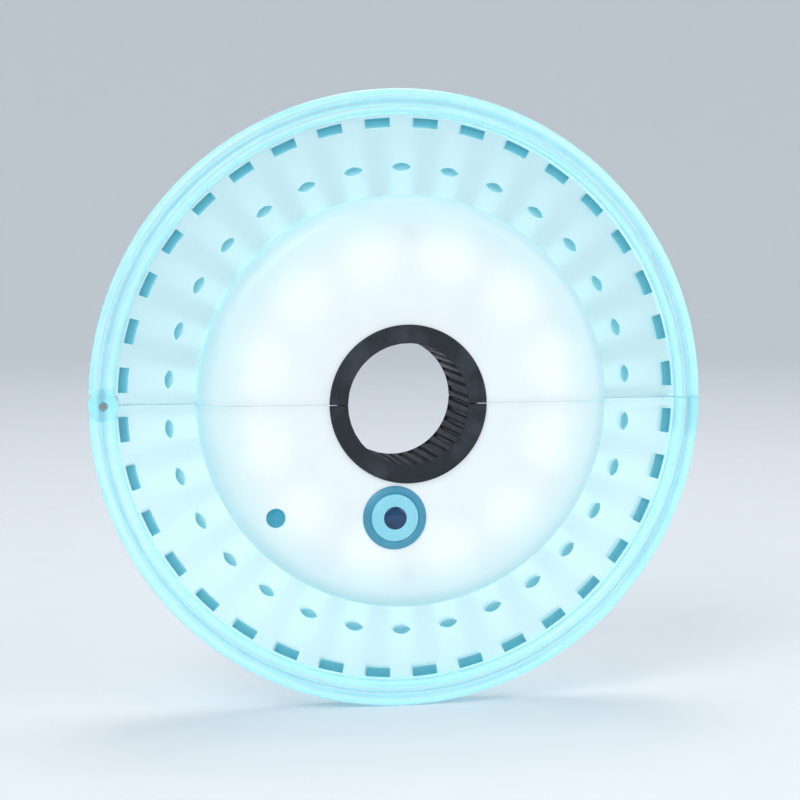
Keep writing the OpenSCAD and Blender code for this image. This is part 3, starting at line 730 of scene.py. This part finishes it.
def crossScrew(length):
    s = screwShape
    outline = [(0, -length), (s["core"] / 2, -length), (s["core"], -length + s["point"]),
               (s["core"], -s["headHeight"]), (s["headRadius"], -s["headHeight"])]
    outline += [(s["headRadius"] * across, -s["crown"] * down) for across, down in s["dome"]]
    bm = spun(outline, 32)
    bmesh.ops.remove_doubles(bm, verts=bm.verts, dist=1e-4)
    topEdges = [e for e in bm.edges if e.is_boundary]
    corner = [(s["armLong"], s["armHalf"]), (s["armHalf"], s["armHalf"]), (s["armHalf"], s["armLong"])]
    cross = []
    for quarter in range(4):
        turn = Matrix.Rotation(quarter * math.pi / 2, 3, "Z")
        cross += [bm.verts.new(turn @ Vector((x, y, 0))) for x, y in corner]
    crossEdges = [bm.edges.new((cross[i - 1], cross[i])) for i in range(len(cross))]
    bmesh.ops.triangle_fill(bm, use_beauty=True, use_dissolve=False, edges=topEdges + crossEdges,
                            normal=(0, 0, 1))
    sunk = bmesh.ops.extrude_edge_only(bm, edges=crossEdges)["geom"]
    low = [g for g in sunk if isinstance(g, bmesh.types.BMVert)]
    bmesh.ops.scale(bm, vec=(s["taper"], s["taper"], 1), verts=low)
    bmesh.ops.translate(bm, vec=(0, 0, -s["recess"]), verts=low)
    closeUp(bm)
    turns = int((length - s["headHeight"] - 2 * s["plain"]) / s["pitch"])
    start, root = -length + s["plain"], s["core"] - s["rooted"]
    tooth = [(root, start), (s["thread"], start + s["flank"]), (root, start + 2 * s["flank"])]
    rib = [bm.verts.new((r, 0, z)) for r, z in tooth]
    ribEdges = [bm.edges.new((rib[i - 1], rib[i])) for i in range(len(rib))]
    bmesh.ops.spin(bm, geom=rib + ribEdges, cent=(0, 0, 0), axis=(0, 0, 1), angle=math.tau * turns,
                   steps=s["threadSteps"] * turns, dvec=(0, 0, s["pitch"] / s["threadSteps"]),
                   use_merge=False)
    closeUp(bm)
    return bm


def makeScrews():
    s = screwShape
    for half, turns in (("upper", screwTurns[:3]), ("lower", screwTurns[3:])):
        low, high = faceBox(half + "_screws")
        screws = []
        for i, turn in enumerate(turns):
            stop = Matrix.Rotation(s["firstStop"] + s["nextStop"] * i, 4, "Z")
            screws.append(moved(crossScrew(high.z - low.z), onRing(s["ring"], turn, low.z) @ toRear @ stop))
        makePiece(half + "ScrewSet", half + "_half", screws, ["steel"], [half + "_screws"])


# Hinge pin: ground, with a small chamfer at both ends
pinShape = {"chamfer": 0.25, "edge": 0.06}


def makeHingePin():
    low, high = faceBox("hinge_pin")
    middle = (low + high) / 2
    r, tip = (high.x - low.x) / 2, pinShape["chamfer"]
    pin = turnedPart([(0, low.z), (r - tip, low.z), (r, low.z + tip), (r, high.z - tip), (r - tip, high.z),
                      (0, high.z)], steps=32, edge=pinShape["edge"])
    moved(pin, Matrix.Translation((middle.x, middle.y, 0)))
    makePiece("hingePinGround", "lower_half", [pin], ["stainless"], ["hinge_pin"])


# Hub grips: half sleeves with rolled lips and grooves along the bore, so that the rubber can give
gripShape = {
    "bore": frame["record"]["mounts"][0]["dims"]["r_mm"],
    "sleeve": 16.2,
    "lip": 18.3,
    "lipThick": 0.9,
    "edge": 0.28,
    "steps": 240,
    "groovePitch": 10,  # degrees
    "groove": 4,
    "grooveDepth": 0.7,
    "near": 0.02,
}


def makeHubGrips():
    g = gripShape
    low, high = faceBox("upper_hub_grip")
    lip, under = g["lip"], high.z - g["lipThick"]
    outline = [(g["bore"], low.z), (g["bore"], high.z), (lip, high.z), (lip, under), (g["sleeve"], under),
               (g["sleeve"], -under), (lip, -under), (lip, low.z)]
    for half, side in (("upper", 1), ("lower", -1)):
        grip = ringPart(outline, g["steps"], g["edge"], segments=3)
        for v in grip.verts:
            turn = math.degrees(math.atan2(v.co.y, v.co.x)) % g["groovePitch"]
            if v.co.xy.length < g["bore"] + g["near"] and turn > g["groovePitch"] - g["groove"]:
                v.co.xy *= 1 + g["grooveDepth"] / g["bore"]
        bmesh.ops.bisect_plane(grip, geom=grip.verts[:] + grip.edges[:] + grip.faces[:], dist=1e-5,
                               plane_co=(0, side * low.y, 0), plane_no=(0, side, 0), clear_inner=True)
        closeUp(grip)
        makePiece(half + "GripSleeve", half + "_half", [grip], ["silicone"], [half + "_hub_grip"])


# Button: a domed cap with a shallow dish round its dark lens, in a bezel with rolled edges
buttonShape = {
    "ball": 19.31,  # radius of the dome
    "capRadius": 5.5,
    "capRings": (5.1, 4.7, 4.3, 3.9),
    "brim": 0.1,
    "brimRise": 0.3,
    "dish": 3.35,
    "dishFloor": 2.9,
    "dishDepth": 0.12,
    "lensSeat": 2.65,
    "lensRings": (2.45, 2.0, 1.4, 0.7, 0),
    "lensSide": 0.2,
    "lensDrop": 0.08,
    "flange": 6.3,
    "flangeThick": 1.0,
    "flangeGap": 0.1,
    "stem": 2.0,
    "bezelBore": 5.6,
    "bezelTube": 6.6,
    "bezelSlope": (0.55, 0.45),
    "bezelMouth": (0.35, 0.3),
    "capEdge": 0.05,
    "bezelEdge": 0.1,
}


def makeButton():
    b = buttonShape
    low, high = faceBox("power_button")
    lensLow, lensHigh = faceBox("button_inlay")
    bezelLow, bezelHigh = faceBox("button_bezel")
    centre = (bezelLow + bezelHigh) / 2
    seat = Matrix.Translation((centre.x, centre.y, 0))

    def crown(r):
        return high.z - b["ball"] + math.sqrt(b["ball"] ** 2 - r * r)

    rest = bezelLow.z - b["flangeGap"]
    foot = rest - b["flangeThick"]
    radius = b["capRadius"]
    cap = [(0, low.z), (b["stem"], low.z), (b["stem"], foot), (b["flange"], foot), (b["flange"], rest),
           (radius, rest), (radius, crown(radius) - b["brim"]),
           (radius - b["brim"], crown(radius - b["brimRise"]))]
    cap += [(r, crown(r)) for r in b["capRings"]]
    cap += [(r, crown(r) - b["dishDepth"]) for r in (b["dish"], b["dishFloor"], b["lensSeat"])]
    cap += [(b["lensSeat"], lensLow.z), (0, lensLow.z)]
    cap = turnedPart(cap, steps=72, edge=b["capEdge"])
    makePiece("buttonCap", "button", [moved(cap, seat)], ["litAbs"], ["power_button"])
    radius = (lensHigh.x - lensLow.x) / 2
    lens = [(0, lensLow.z), (radius, lensLow.z), (radius, crown(radius) - b["lensSide"])]
    lens += [(r, crown(r) - b["lensDrop"] * (r / radius) ** 2) for r in b["lensRings"]]
    makePiece("buttonLens", "button", [moved(turnedPart(lens, steps=64), seat)], ["lensTint"],
              ["button_inlay"])
    outer = (bezelHigh.x - bezelLow.x) / 2
    face, top = -frontFace / mm, bezelHigh.z
    slopeIn, slopeDown = b["bezelSlope"]
    mouthOut, mouthDown = b["bezelMouth"]
    bore, tube = b["bezelBore"], b["bezelTube"]
    ring = [(bore, bezelLow.z), (tube, bezelLow.z), (tube, face), (outer, face), (outer, top - slopeDown),
            (outer - slopeIn, top), (bore + mouthOut, top), (bore, top - mouthDown)]
    ring = ringPart(ring, steps=80, edge=b["bezelEdge"], segments=3)
    makePiece("buttonBezelRing", "lower_half", [moved(ring, seat)], ["tealAbs"], ["button_bezel"])


# Tact switch under the button: black base, steel collar with four rivets and legs, and the plunger
switchShape = {
    "width": 4.5,
    "edge": 0.12,
    "plate": 0.3,
    "collar": 2.1,
    "collarGap": 0.05,
    "steelEdge": 0.05,
    "rivet": [(0.36, 0.3), (0.36, 0.1), (0.2, 0), (0, 0)],  # radius, and depth below the top
    "rivetAt": 1.82,
    "leg": (0.5, 0.35, 0.9),
    "legAt": 1.4,
    "legSunk": 0.1,
    "plungerEdge": 0.15,
}


def makeSwitch():
    s = switchShape
    low, high = faceBox("switch_base")
    plungerLow, plungerHigh = faceBox("switch_plunger")
    seat = seatOf("switch_base")
    r = (plungerHigh.x - plungerLow.x) / 2
    width, under = s["width"], high.z - s["plate"]
    bore = r + s["collarGap"]
    parts = [blockPart((width, width, under - low.z), (0, 0, (under + low.z) / 2), s["edge"])]
    parts.append(ringPart([(bore, under), (s["collar"], under), (s["collar"], high.z), (bore, high.z)],
                          steps=32, edge=s["steelEdge"], index=1))
    for x in bothSides:
        for y in bothSides:
            rivet = turnedPart([(across, high.z - down) for across, down in s["rivet"]], steps=12, index=1)
            parts.append(moved(rivet, Matrix.Translation((x * s["rivetAt"], y * s["rivetAt"], 0))))
            foot = (x * s["legAt"], y * (width / 2 - s["legSunk"]), low.z + s["leg"][2] / 2)
            parts.append(blockPart(s["leg"], foot, s["steelEdge"], index=1))
    makePiece("tactSwitch", "lower_half", [moved(p, seat) for p in parts], ["blackNylon", "stainless"],
              ["switch_base"])
    stem = turnedPart([(0, plungerLow.z), (r, plungerLow.z), (r, plungerHigh.z), (0, plungerHigh.z)],
                      steps=32, edge=s["plungerEdge"])
    makePiece("tactPlunger", "button", [moved(stem, seat)], ["paleAbs"], ["switch_plunger"])


# Sensor window: a clip-in lens with a lip behind the cover and a slightly domed face
windowShape = {
    "lipThick": 0.6,
    "dome": [(2.2, 0.25), (2.05, 0.08), (1.32, 0.02), (0, 0)],  # radius, and depth below the top
    "edge": 0.03,
}


def makeSensorWindow():
    w = windowShape
    low, high = faceBox("sensor_window")
    centre = (low + high) / 2
    lip, lipTop = (high.x - low.x) / 2, low.z + w["lipThick"]
    lens = [(0, low.z), (lip, low.z), (lip, lipTop), (w["dome"][0][0], lipTop)]
    lens += [(r, high.z - down) for r, down in w["dome"]]
    lens = turnedPart(lens, steps=48, edge=w["edge"])
    makePiece("sensorLens", "lower_half", [moved(lens, Matrix.Translation((*centre.xy, 0)))], ["windowTint"],
              ["sensor_window"])


# Photodiode under the window: a black body with a round eye and tinned ends
diodeShape = {
    "body": (1.5, 2, 0.9),
    "bodyEdge": 0.08,
    "eye": [(0.55, 0.85), (0.5, 0.9), (0, 0.9)],
    "end": (0.3, 1.3, 0.5),
    "endAt": 0.85,
    "endEdge": 0.05,
}


def makePhotodiode():
    d = diodeShape
    parts = [blockPart(d["body"], (0, 0, d["body"][2] / 2), d["bodyEdge"])]
    parts.append(turnedPart(d["eye"], steps=24, index=1))
    parts += [blockPart(d["end"], (x * d["endAt"], 0, d["end"][2] / 2), d["endEdge"], index=2)
              for x in bothSides]
    seat = seatOf("light_sensor", boardHalf)
    makePiece("photodiode", "lower_half", [moved(p, seat) for p in parts], ["moulding", "lensTint", "tin"],
              ["light_sensor"])


# Edge lamps and face lamps: white cups with a phosphor window and tinned ends
edgeLedShape = {
    "ring": 43.9,
    "count": 30,
    "size": (1.4, 2.6, 1.2),
    "window": (1, 0, 0),
    "end": (0.9, 0.22, 0.75),
    "endAt": (-0.1, 1.39, 0.38),
    "endEdge": 0.05,
}
faceLedShape = {
    "ring": 35.0,
    "size": (2.8, 3.1, 0.9),
    "window": (0, 0, 1),
    "end": (2.0, 0.24, 0.55),
    "endAt": (0, 1.63, 0.28),
    "endEdge": 0.06,
}
cupShape = {"edge": 0.06, "wall": 0.22, "depth": 0.16}


def ledCup(size, window):
    # Stands on z = 0. The window is the face that looks along this direction.
    bm = blockPart(size, (0, 0, size[2] / 2), cupShape["edge"], segments=1)
    lit = max(bm.faces, key=lambda f: (f.normal.dot(window), f.calc_area()))
    bmesh.ops.inset_individual(bm, faces=[lit], thickness=cupShape["wall"], use_even_offset=True)
    inner = bmesh.ops.extrude_discrete_faces(bm, faces=[lit])["faces"]
    bmesh.ops.translate(bm, vec=-cupShape["depth"] * Vector(window), verts=inner[0].verts[:])
    bmesh.ops.bridge_loops(bm, edges=[e for e in bm.edges if e.is_boundary])
    inner[0].material_index = 1
    return bm


def ledParts(shape, seat):
    x, y, z = shape["endAt"]
    ends = [blockPart(shape["end"], (x, side * y, z), shape["endEdge"], index=2) for side in bothSides]
    return [moved(p, seat) for p in [ledCup(shape["size"], shape["window"]), *ends]]


def makeLeds():
    lampFinishes = ["lampWhite", "phosphor", "tin"]
    edge, ring = edgeLedShape, faceLedShape["ring"]
    for half, side in (("upper", 1), ("lower", -1)):
        parts = []
        for i in range(edge["count"] // 2):
            turn = side * (i + 0.5) * 360 / edge["count"]
            parts += ledParts(edge, onRing(edge["ring"], turn, boardHalf))
        makePiece(half + "EdgeLamps", half + "_half", parts, lampFinishes, [half + "_edge_leds"])
        seats = [(turn, onRing(ring, turn, boardHalf)) for turn in frontLamps]
        seats += [(turn, onRing(ring, turn, -boardHalf) @ hungBelow) for turn in rearLamps]
        parts = []
        for turn, seat in seats:
            if (turn < 180) == (side > 0):
                parts += ledParts(faceLedShape, seat)
        makePiece(half + "FaceLamps", half + "_half", parts, lampFinishes, [half + "_face_leds"])


# Controller on the rear of the lower board: leadless, with pads along four sides and a round mark
chipShape = {
    "ring": 30.94,
    "turn": 315,
    "size": 5.0,
    "thick": 0.78,
    "rise": 0.12,
    "edge": 0.07,
    "mark": [(0.3, 0.86), (0.3, 0.905), (0.24, 0.905), (0, 0.89)],
    "pads": 8,
    "pad": (0.36, 0.26, 0.2),
    "padIn": 0.17,
    "padPitch": 0.5,
}


def makeControlChip():
    c = chipShape
    body = (c["size"], c["size"], c["thick"])
    parts = [blockPart(body, (0, 0, c["rise"] + c["thick"] / 2), c["edge"])]
    parts.append(turnedPart(c["mark"], steps=20, index=2))
    for quarter in range(4):
        for i in range(c["pads"]):
            along = (i - (c["pads"] - 1) / 2) * c["padPitch"]
            pad = blockPart(c["pad"], (c["size"] / 2 - c["padIn"], along, c["pad"][2] / 2), index=1)
            parts.append(moved(pad, Matrix.Rotation(quarter * math.pi / 2, 4, "Z")))
    seat = onRing(c["ring"], c["turn"], -boardHalf) @ hungBelow
    makePiece("controlChipBody", "lower_half", [moved(p, seat) for p in parts],
              ["moulding", "tin", "lampWhite"], ["control_chip"])


# Charger beside it: a small body on six bent legs
chargerShape = {
    "ring": 23.74,
    "turn": 325,
    "body": (2.9, 1.7, 0.85),
    "rise": 0.15,
    "edge": 0.08,
    "legs": (-0.95, 0, 0.95),
    "leg": (0.35, 0.16, 0.5),
    "legAt": (0.95, 0.3),
    "foot": (0.35, 0.4, 0.12),
    "footAt": (1.1, 0.06),
    "legEdge": 0.03,
}


def makeChargeChip():
    c = chargerShape
    parts = [blockPart(c["body"], (0, 0, c["rise"] + c["body"][2] / 2), c["edge"])]
    for side in bothSides:
        for x in c["legs"]:
            for block in ("leg", "foot"):
                out, up = c[block + "At"]
                parts.append(blockPart(c[block], (x, side * out, up), c["legEdge"], index=1))
    seat = onRing(c["ring"], c["turn"], -boardHalf) @ hungBelow
    makePiece("chargeChipBody", "lower_half", [moved(p, seat) for p in parts], ["moulding", "tin"],
              ["charge_chip"])


# Motion sensor: a drawn can with a crimp, lying on the board, and a nylon plug with its lead
canShape = {
    "ring": 31.96,
    "turn": 225,
    "half": 5.0,
    "corner": 0.35,
    # Distance inwards from the can's wall and back from its end
    "crimp": [(0, 2.2), (0.28, 1.9), (0.28, 1.6), (0, 1.3), (0, 0.5), (0.3, 0.25)],
    "plug": [(0.3, 0.25), (0.35, 0.1)],
    "plugRadius": 0.5,
    "plugEnd": 0.05,
    "lead": 0.28,
    "leadLong": 0.1,
    "edge": 0.05,
}


def makeMotionSensor():
    c = canShape
    low, high = faceBox("motion_sensor")
    r, end = (high.z - low.z) / 2, c["half"]
    can = [(0, -end), (r - c["corner"], -end), (r, -end + c["corner"])]
    can += [(r - inwards, end - back) for inwards, back in c["crimp"]]
    plug = [(r - inwards, end - back) for inwards, back in c["plug"]]
    plug += [(c["plugRadius"], end - c["plugEnd"]), (0, end - c["plugEnd"])]
    lead = [(c["lead"], end - c["leadLong"]), (c["lead"], end), (0, end)]
    lie = onRing(c["ring"], c["turn"], -boardHalf - r) @ Matrix.Rotation(math.radians(90), 4, "X")
    parts = [turnedPart(can, steps=40, edge=c["edge"]), turnedPart(plug, steps=40, index=1),
             turnedPart(lead, steps=16, index=2)]
    makePiece("motionSensorCan", "lower_half", [moved(p, lie) for p in parts],
              ["stainless", "blackNylon", "tin"], ["motion_sensor"])


# Charging socket: drawn shell with a rolled mouth, and a tongue with gold contacts on both sides
socketShape = {
    "width": 8.94,
    "height": 3.26,
    "wall": 0.3,
    "base": 2.2,
    "edge": 0.06,
    "sharp": 60,  # degrees
    "collapse": 0.002,
    "tongue": (6.7, 0.7, 4.6),
    "tongueEdge": 0.1,
    "contacts": 8,
    "contactWide": 0.34,
    "contactThick": 0.1,
    "contactShort": 0.8,
    "margin": 1.5,  # room beside the contacts, in contacts
    "contactEdge": 0.03,
}


def makeSocket():
    s = socketShape
    low, high = faceBox("usb_socket")
    centre = (low + high) / 2
    seat = Matrix.Translation((centre.x, centre.y, 0)) @ toRear
    mouth, floor = -low.z, -high.z
    shell = roundedPlate(s["width"], s["height"], mouth - floor, s["height"] / 2 - straight)
    moved(shell, Matrix.Translation((0, 0, (mouth + floor) / 2)))
    lid = max(shell.faces, key=lambda f: (round(f.normal.z, 3), f.calc_area()))
    bmesh.ops.inset_individual(shell, faces=[lid], thickness=s["wall"], use_even_offset=True)
    sunk = bmesh.ops.extrude_discrete_faces(shell, faces=[lid])["faces"]
    bmesh.ops.translate(shell, vec=(0, 0, s["base"] - mouth), verts=sunk[0].verts[:])
    bmesh.ops.bridge_loops(shell, edges=[e for e in shell.edges if e.is_boundary])
    soften(shell, s["edge"], 2, s["sharp"])
    bmesh.ops.dissolve_degenerate(shell, dist=s["collapse"], edges=shell.edges)
    makePiece("socketShell", "lower_half", [moved(shell, seat)], ["stainless"], ["usb_socket"])
    wide, thick, deep = s["tongue"]
    middle = s["base"] + deep / 2
    parts = [blockPart((wide, thick - s["contactThick"], deep), (0, 0, middle), s["tongueEdge"])]
    contact = (s["contactWide"], s["contactThick"], deep - s["contactShort"])
    for i in range(s["contacts"]):
        x = (i - (s["contacts"] - 1) / 2) * wide / (s["contacts"] + s["margin"])
        for side in bothSides:
            y = side * (thick - s["contactThick"]) / 2
            parts.append(blockPart(contact, (x, y, middle), s["contactEdge"], index=1))
    makePiece("socketTongue", "lower_half", [moved(p, seat) for p in parts], ["blackNylon", "gold"],
              ["usb_tongue"])


# Port door: a flush lid on a round hinge edge, with three grip ridges, and its rubber plug inside
doorShape = {
    "width": 14.5,
    "corner": 1.35,
    "rimEdge": 0.28,
    "barrelEdge": 0.1,
    "stub": 0.5,
    "stubEdge": 0.08,
    "ridges": 3,
    "ridgeLong": 6.0,
    "ridgePitch": 0.95,
    "ridgeFirst": 1.3,
    "ridge": [(0, 0), (0.18, 0.05), (0.22, 0.22)],  # height, and distance from the ridge's end
    "plugEdge": 0.22,
    "near": 0.01,
}


def makePortDoor():
    d = doorShape
    low, high = faceBox("port_door")
    thick, width = high.z - low.z, d["width"]
    axisY, axisZ = high.y - thick / 2, (low.z + high.z) / 2
    lidHigh = axisY - low.y
    lid = blockPart((width, lidHigh, thick), (0, axisY - lidHigh / 2, axisZ))
    lowCorners = [e for e in lid.edges if all(v.co.y < low.y + d["near"] for v in e.verts)
                  and abs(e.verts[0].co.z - e.verts[1].co.z) > thick / 2]
    roundEdges(lid, lowCorners, d["corner"], 10)
    outerRim = [e for e in lid.edges if all(v.co.z < low.z + d["near"] for v in e.verts)]
    roundEdges(lid, outerRim, d["rimEdge"], 3)
    lying = Matrix.Rotation(math.radians(90), 4, "Y")
    across = Matrix.Translation((0, axisY, axisZ)) @ lying
    r, half, full = thick / 2, width / 2, (high.x - low.x) / 2
    barrel = turnedPart([(0, -half), (r, -half), (r, half), (0, half)], steps=32, edge=d["barrelEdge"])
    stubs = turnedPart([(0, -full), (d["stub"], -full), (d["stub"], full), (0, full)], steps=24,
                       edge=d["stubEdge"])
    parts = [lid, moved(barrel, across), moved(stubs, across)]
    tip = d["ridgeLong"] / 2
    outline = [(up, -tip + along) for up, along in d["ridge"]]
    outline += [(up, tip - along) for up, along in reversed(d["ridge"])]
    for i in range(d["ridges"]):
        spot = Matrix.Translation((0, low.y + d["ridgeFirst"] + i * d["ridgePitch"], low.z))
        parts.append(moved(turnedPart(outline, steps=16), spot @ lying))
    makePiece("portLid", "port_cover", parts, ["paleAbs"], ["port_door"])
    low, high = faceBox("port_plug")
    width, height, thick = high - low
    plug = roundedPlate(width, height, thick, height / 2 - straight)
    top = [e for e in plug.edges if all(v.co.z > thick / 2 - d["near"] for v in e.verts)]
    roundEdges(plug, top, d["plugEdge"], 3)
    makePiece("portPlugRubber", "port_cover", [moved(plug, Matrix.Translation((low + high) / 2))],
              ["silicone"], ["port_plug"])


# Pouch cells: foil with round shoulders and folded side seams, taped at the end with the tabs, between pads
cellShape = {
    "wide": 18.0,
    "long": 28.0,
    "round": 1.5,
    "slack": 0.1,  # room between the foil and the cell's box
    "seam": 0.3,
    "seamHigh": 3.4,
    "seamShort": 2.4,
    "seamAt": (-0.4, 0.2),
    "seamEdge": 0.1,
    "tape": 3.2,
    "padIn": 4,
    "padThick": 0.6,
    "padCorner": 1.2,
    "padEdge": 0.18,
}


def makeCells():
    c = cellShape
    wide, long, slack = c["wide"], c["long"], c["slack"]
    foilWide = wide - 2 * c["seam"]
    seamY, seamZ = c["seamAt"]
    padSize = (wide - c["padIn"], long - c["padIn"], c["padThick"])
    pads = []
    for node, mirrored in (("right_cell", 1), ("left_cell", -1)):
        low, high = faceBox(node)
        thick = high.z - low.z
        seat = seatOf(node, (low.z + high.z) / 2) @ Matrix.Diagonal((1, mirrored, 1, 1))
        parts = [blockPart((foilWide, long - 2 * slack, thick - slack), edge=c["round"], segments=5)]
        parts += [blockPart((c["seam"], long - c["seamShort"], c["seamHigh"]),
                            (x * (wide - c["seam"]) / 2, seamY, seamZ), c["seamEdge"]) for x in bothSides]
        parts.append(blockPart((foilWide + slack, c["tape"], thick), (0, (long - c["tape"]) / 2, 0),
                               c["round"], index=1, segments=5))
        makePiece(node.replace("_cell", "PouchCell"), "upper_half", [moved(p, seat) for p in parts],
                  ["foil", "tape"], [node])
        for z in (high.z + c["padThick"] / 2, low.z - c["padThick"] / 2):
            pad = roundedPlate(*padSize, c["padCorner"], c["padEdge"])
            pads.append(moved(pad, seatOf(node, z)))
    foam = makePiece("cellFoamPads", "upper_half", pads, ["foam"], ["cell_pads"])


# Small parts on the boards' rear, with tinned ends, and solder on the contacts at their front.
# Each part has its ring, its direction and its kind: 0 resistor, 1 capacitor.
boardParts = {
    "lower": [(22.5, 290, 0), (22.5, 297, 1), (24.5, 304, 0), (27.0, 298, 1), (36.5, 306, 0),
              (36.5, 312, 0), (37.5, 320, 1), (25.0, 215, 1), (25.0, 223, 0), (25.0, 231, 0),
              (37.5, 238, 0), (22.0, 341, 1)],
    "upper": [(22.5, 84, 0), (22.5, 96, 0), (26.5, 87, 1), (26.5, 95, 1), (30.0, 90, 0)],
    "size": (0.8, 1.6, 0.5),
    "bodyShare": 0.7,
    "bodyEdge": 0.06,
    "endShare": 0.2,
    "endAt": 0.4,
    "endOver": (0.04, 0.03),  # how much wider and higher the ends are
    "endEdge": 0.05,
    "solder": [(1.1, 0), (0.95, 0.22), (0.6, 0.5), (0, 0.62)],
    "solderAt": (-27.6, -36.6),
    "solderIn": 0.55,
}


def smallPart(kind):
    b = boardParts
    across, along, tall = b["size"]
    wider, higher = b["endOver"]
    end = (across + wider, along * b["endShare"], tall + higher)
    parts = [blockPart((across, along * b["bodyShare"], tall), (0, 0, tall / 2), b["bodyEdge"], kind)]
    parts += [blockPart(end, (0, side * along * b["endAt"], end[2] / 2), b["endEdge"], index=2)
              for side in bothSides]
    return parts


def makeBoardParts():
    b = boardParts
    for half, contacts in (("lower", "contact_studs"), ("upper", "contact_pads")):
        parts = []
        for ring, turn, kind in b[half]:
            seat = onRing(ring, turn, -boardHalf) @ hungBelow
            parts += [moved(p, seat) for p in smallPart(kind)]
        low, high = faceBox(contacts)
        foot = low.y + b["solderIn"] if half == "lower" else high.y - b["solderIn"]
        for x in b["solderAt"]:
            blob = turnedPart(b["solder"], steps=20, index=2)
            parts.append(moved(blob, Matrix.Translation((x, foot, boardHalf))))
        makePiece(half + "BoardParts", half + "_half", parts, ["moulding", "ceramic", "tin"], ())


makeMouldings()
makeScrews()
makeHingePin()
makeHubGrips()
makeButton()
makeSwitch()
makeSensorWindow()
makePhotodiode()
print("mouldings, fasteners, grips, button and window made")
makeLeds()
makeControlChip()
makeChargeChip()
makeMotionSensor()
makeSocket()
makePortDoor()
makeCells()
makeBoardParts()
print("lamps, board parts, port and cells made")

# Studio: a round paper cove that looks the same from every side, one large key lamp, a fill and a lamp
# above that draws the top of the clear rim. Lengths are in metres.
studio = {
    "paper": "#e6eaee",
    "paperShade": (0.98, 1.0),
    "fibre": 25 / 3 * mm,  # drawn coarser than real fibres so that it shows
    "paperGlow": 0.16,  # seen by the camera, in gloss and through clear plastic, and lights nothing else
    "floorRadius": 1.3,
    "bend": 0.6,
    "height": 2.2,
    "lamps": [
        ("keyLamp", (-0.55, -0.75, 0.75), 0.7, 4.8),
        ("fillLamp", (0.75, -0.6, 0.45), 0.8, 2.2),
        ("topLamp", (0.1, 0.3, 1.0), 0.6, 3.2),
    ],
    "sky": "#e8eef4",
    "skyStrength": 0.55,
}


def mattPaper():
    material, tree, shader = startMaterial("mattPaper", {"Roughness": 0.9})
    place = addNode(tree, "TexCoord").outputs["Object"]
    fibre = addNode(tree, "TexNoise", {"Vector": place, "Scale": blotches(studio["fibre"]), "Detail": 4})
    dark, pale = studio["paperShade"]
    shade = addNode(tree, "MapRange", {0: fibre, **midNoise, 3: dark, 4: pale})
    tint = addNode(tree, "Mix", {0: 1.0, 6: linearColour(studio["paper"]), 7: shade},
                   data_type="RGBA", blend_type="MULTIPLY")
    path = addNode(tree, "LightPath").outputs
    seen = addNode(tree, "Math", {0: path["Is Camera Ray"], 1: path["Is Glossy Ray"]}, operation="MAXIMUM")
    seen = addNode(tree, "Math", {0: seen, 1: path["Is Transmission Ray"]}, operation="MAXIMUM")
    glow = addNode(tree, "Math", {0: seen, 1: studio["paperGlow"]}, operation="MULTIPLY")
    setInputs(tree, shader, {"Base Color": tint.outputs[2], "Emission Color": tint.outputs[2],
                             "Emission Strength": glow})
    return material


def paperCove():
    floorZ = cadBox[0].z
    r, bend = studio["floorRadius"], studio["bend"]
    arc = [math.radians(a) for a in range(0, 91, 6)]
    outline = [(0, 0)] + [(r + bend * math.sin(a), bend * (1 - math.cos(a))) for a in arc]
    outline.append((r + bend, studio["height"]))
    bm = spun([(x, floorZ + z) for x, z in outline], 96)
    bmesh.ops.remove_doubles(bm, verts=bm.verts, dist=1e-6)
    bmesh.ops.recalc_face_normals(bm, faces=bm.faces)
    mesh = bpy.data.meshes.new("paperCove")
    bm.to_mesh(mesh)
    bm.free()
    mesh.shade_smooth()
    mesh.materials.append(mattPaper())
    cove = bpy.data.objects.new("paperCove", mesh)
    scene.collection.objects.link(cove)


def studioLight():
    for name, spot, size, power in studio["lamps"]:
        lamp = bpy.data.lights.new(name, "AREA")
        lamp.shape = "DISK"
        lamp.size = size
        lamp.energy = power
        holder = bpy.data.objects.new(name, lamp)
        scene.collection.objects.link(holder)
        holder.location = spot
        holder.rotation_euler = (-Vector(spot)).to_track_quat("-Z", "Y").to_euler()
        holder.visible_camera = False  # no bright discs in the side and rear views
    world = bpy.data.worlds.new("studioSky")
    scene.world = world
    world.use_nodes = True
    sky = world.node_tree.nodes["Background"]
    sky.inputs["Color"].default_value = linearColour(studio["sky"])
    sky.inputs["Strength"].default_value = studio["skyStrength"]


# The photograph looks almost straight at the face, a little from the left and from above
view = {"azimuth": -10, "elevation": 5, "lens": 85, "fill": 0.77}


def photoCamera():
    data = bpy.data.cameras.new("photoCamera")
    data.lens = view["lens"]
    holder = bpy.data.objects.new("photoCamera", data)
    scene.collection.objects.link(holder)
    around, above = math.radians(view["azimuth"]), math.radians(view["elevation"])
    level = math.cos(above)
    back = Vector((math.sin(around) * level, -math.cos(around) * level, math.sin(above)))
    distance = discRadius / view["fill"] * data.lens / (data.sensor_width / 2)
    holder.location = back * distance
    holder.rotation_euler = (-back).to_track_quat("-Z", "Y").to_euler()
    scene.camera = holder


paperCove()
studioLight()
photoCamera()
scene.view_settings.view_transform = "Standard"
print("studio and camera set")
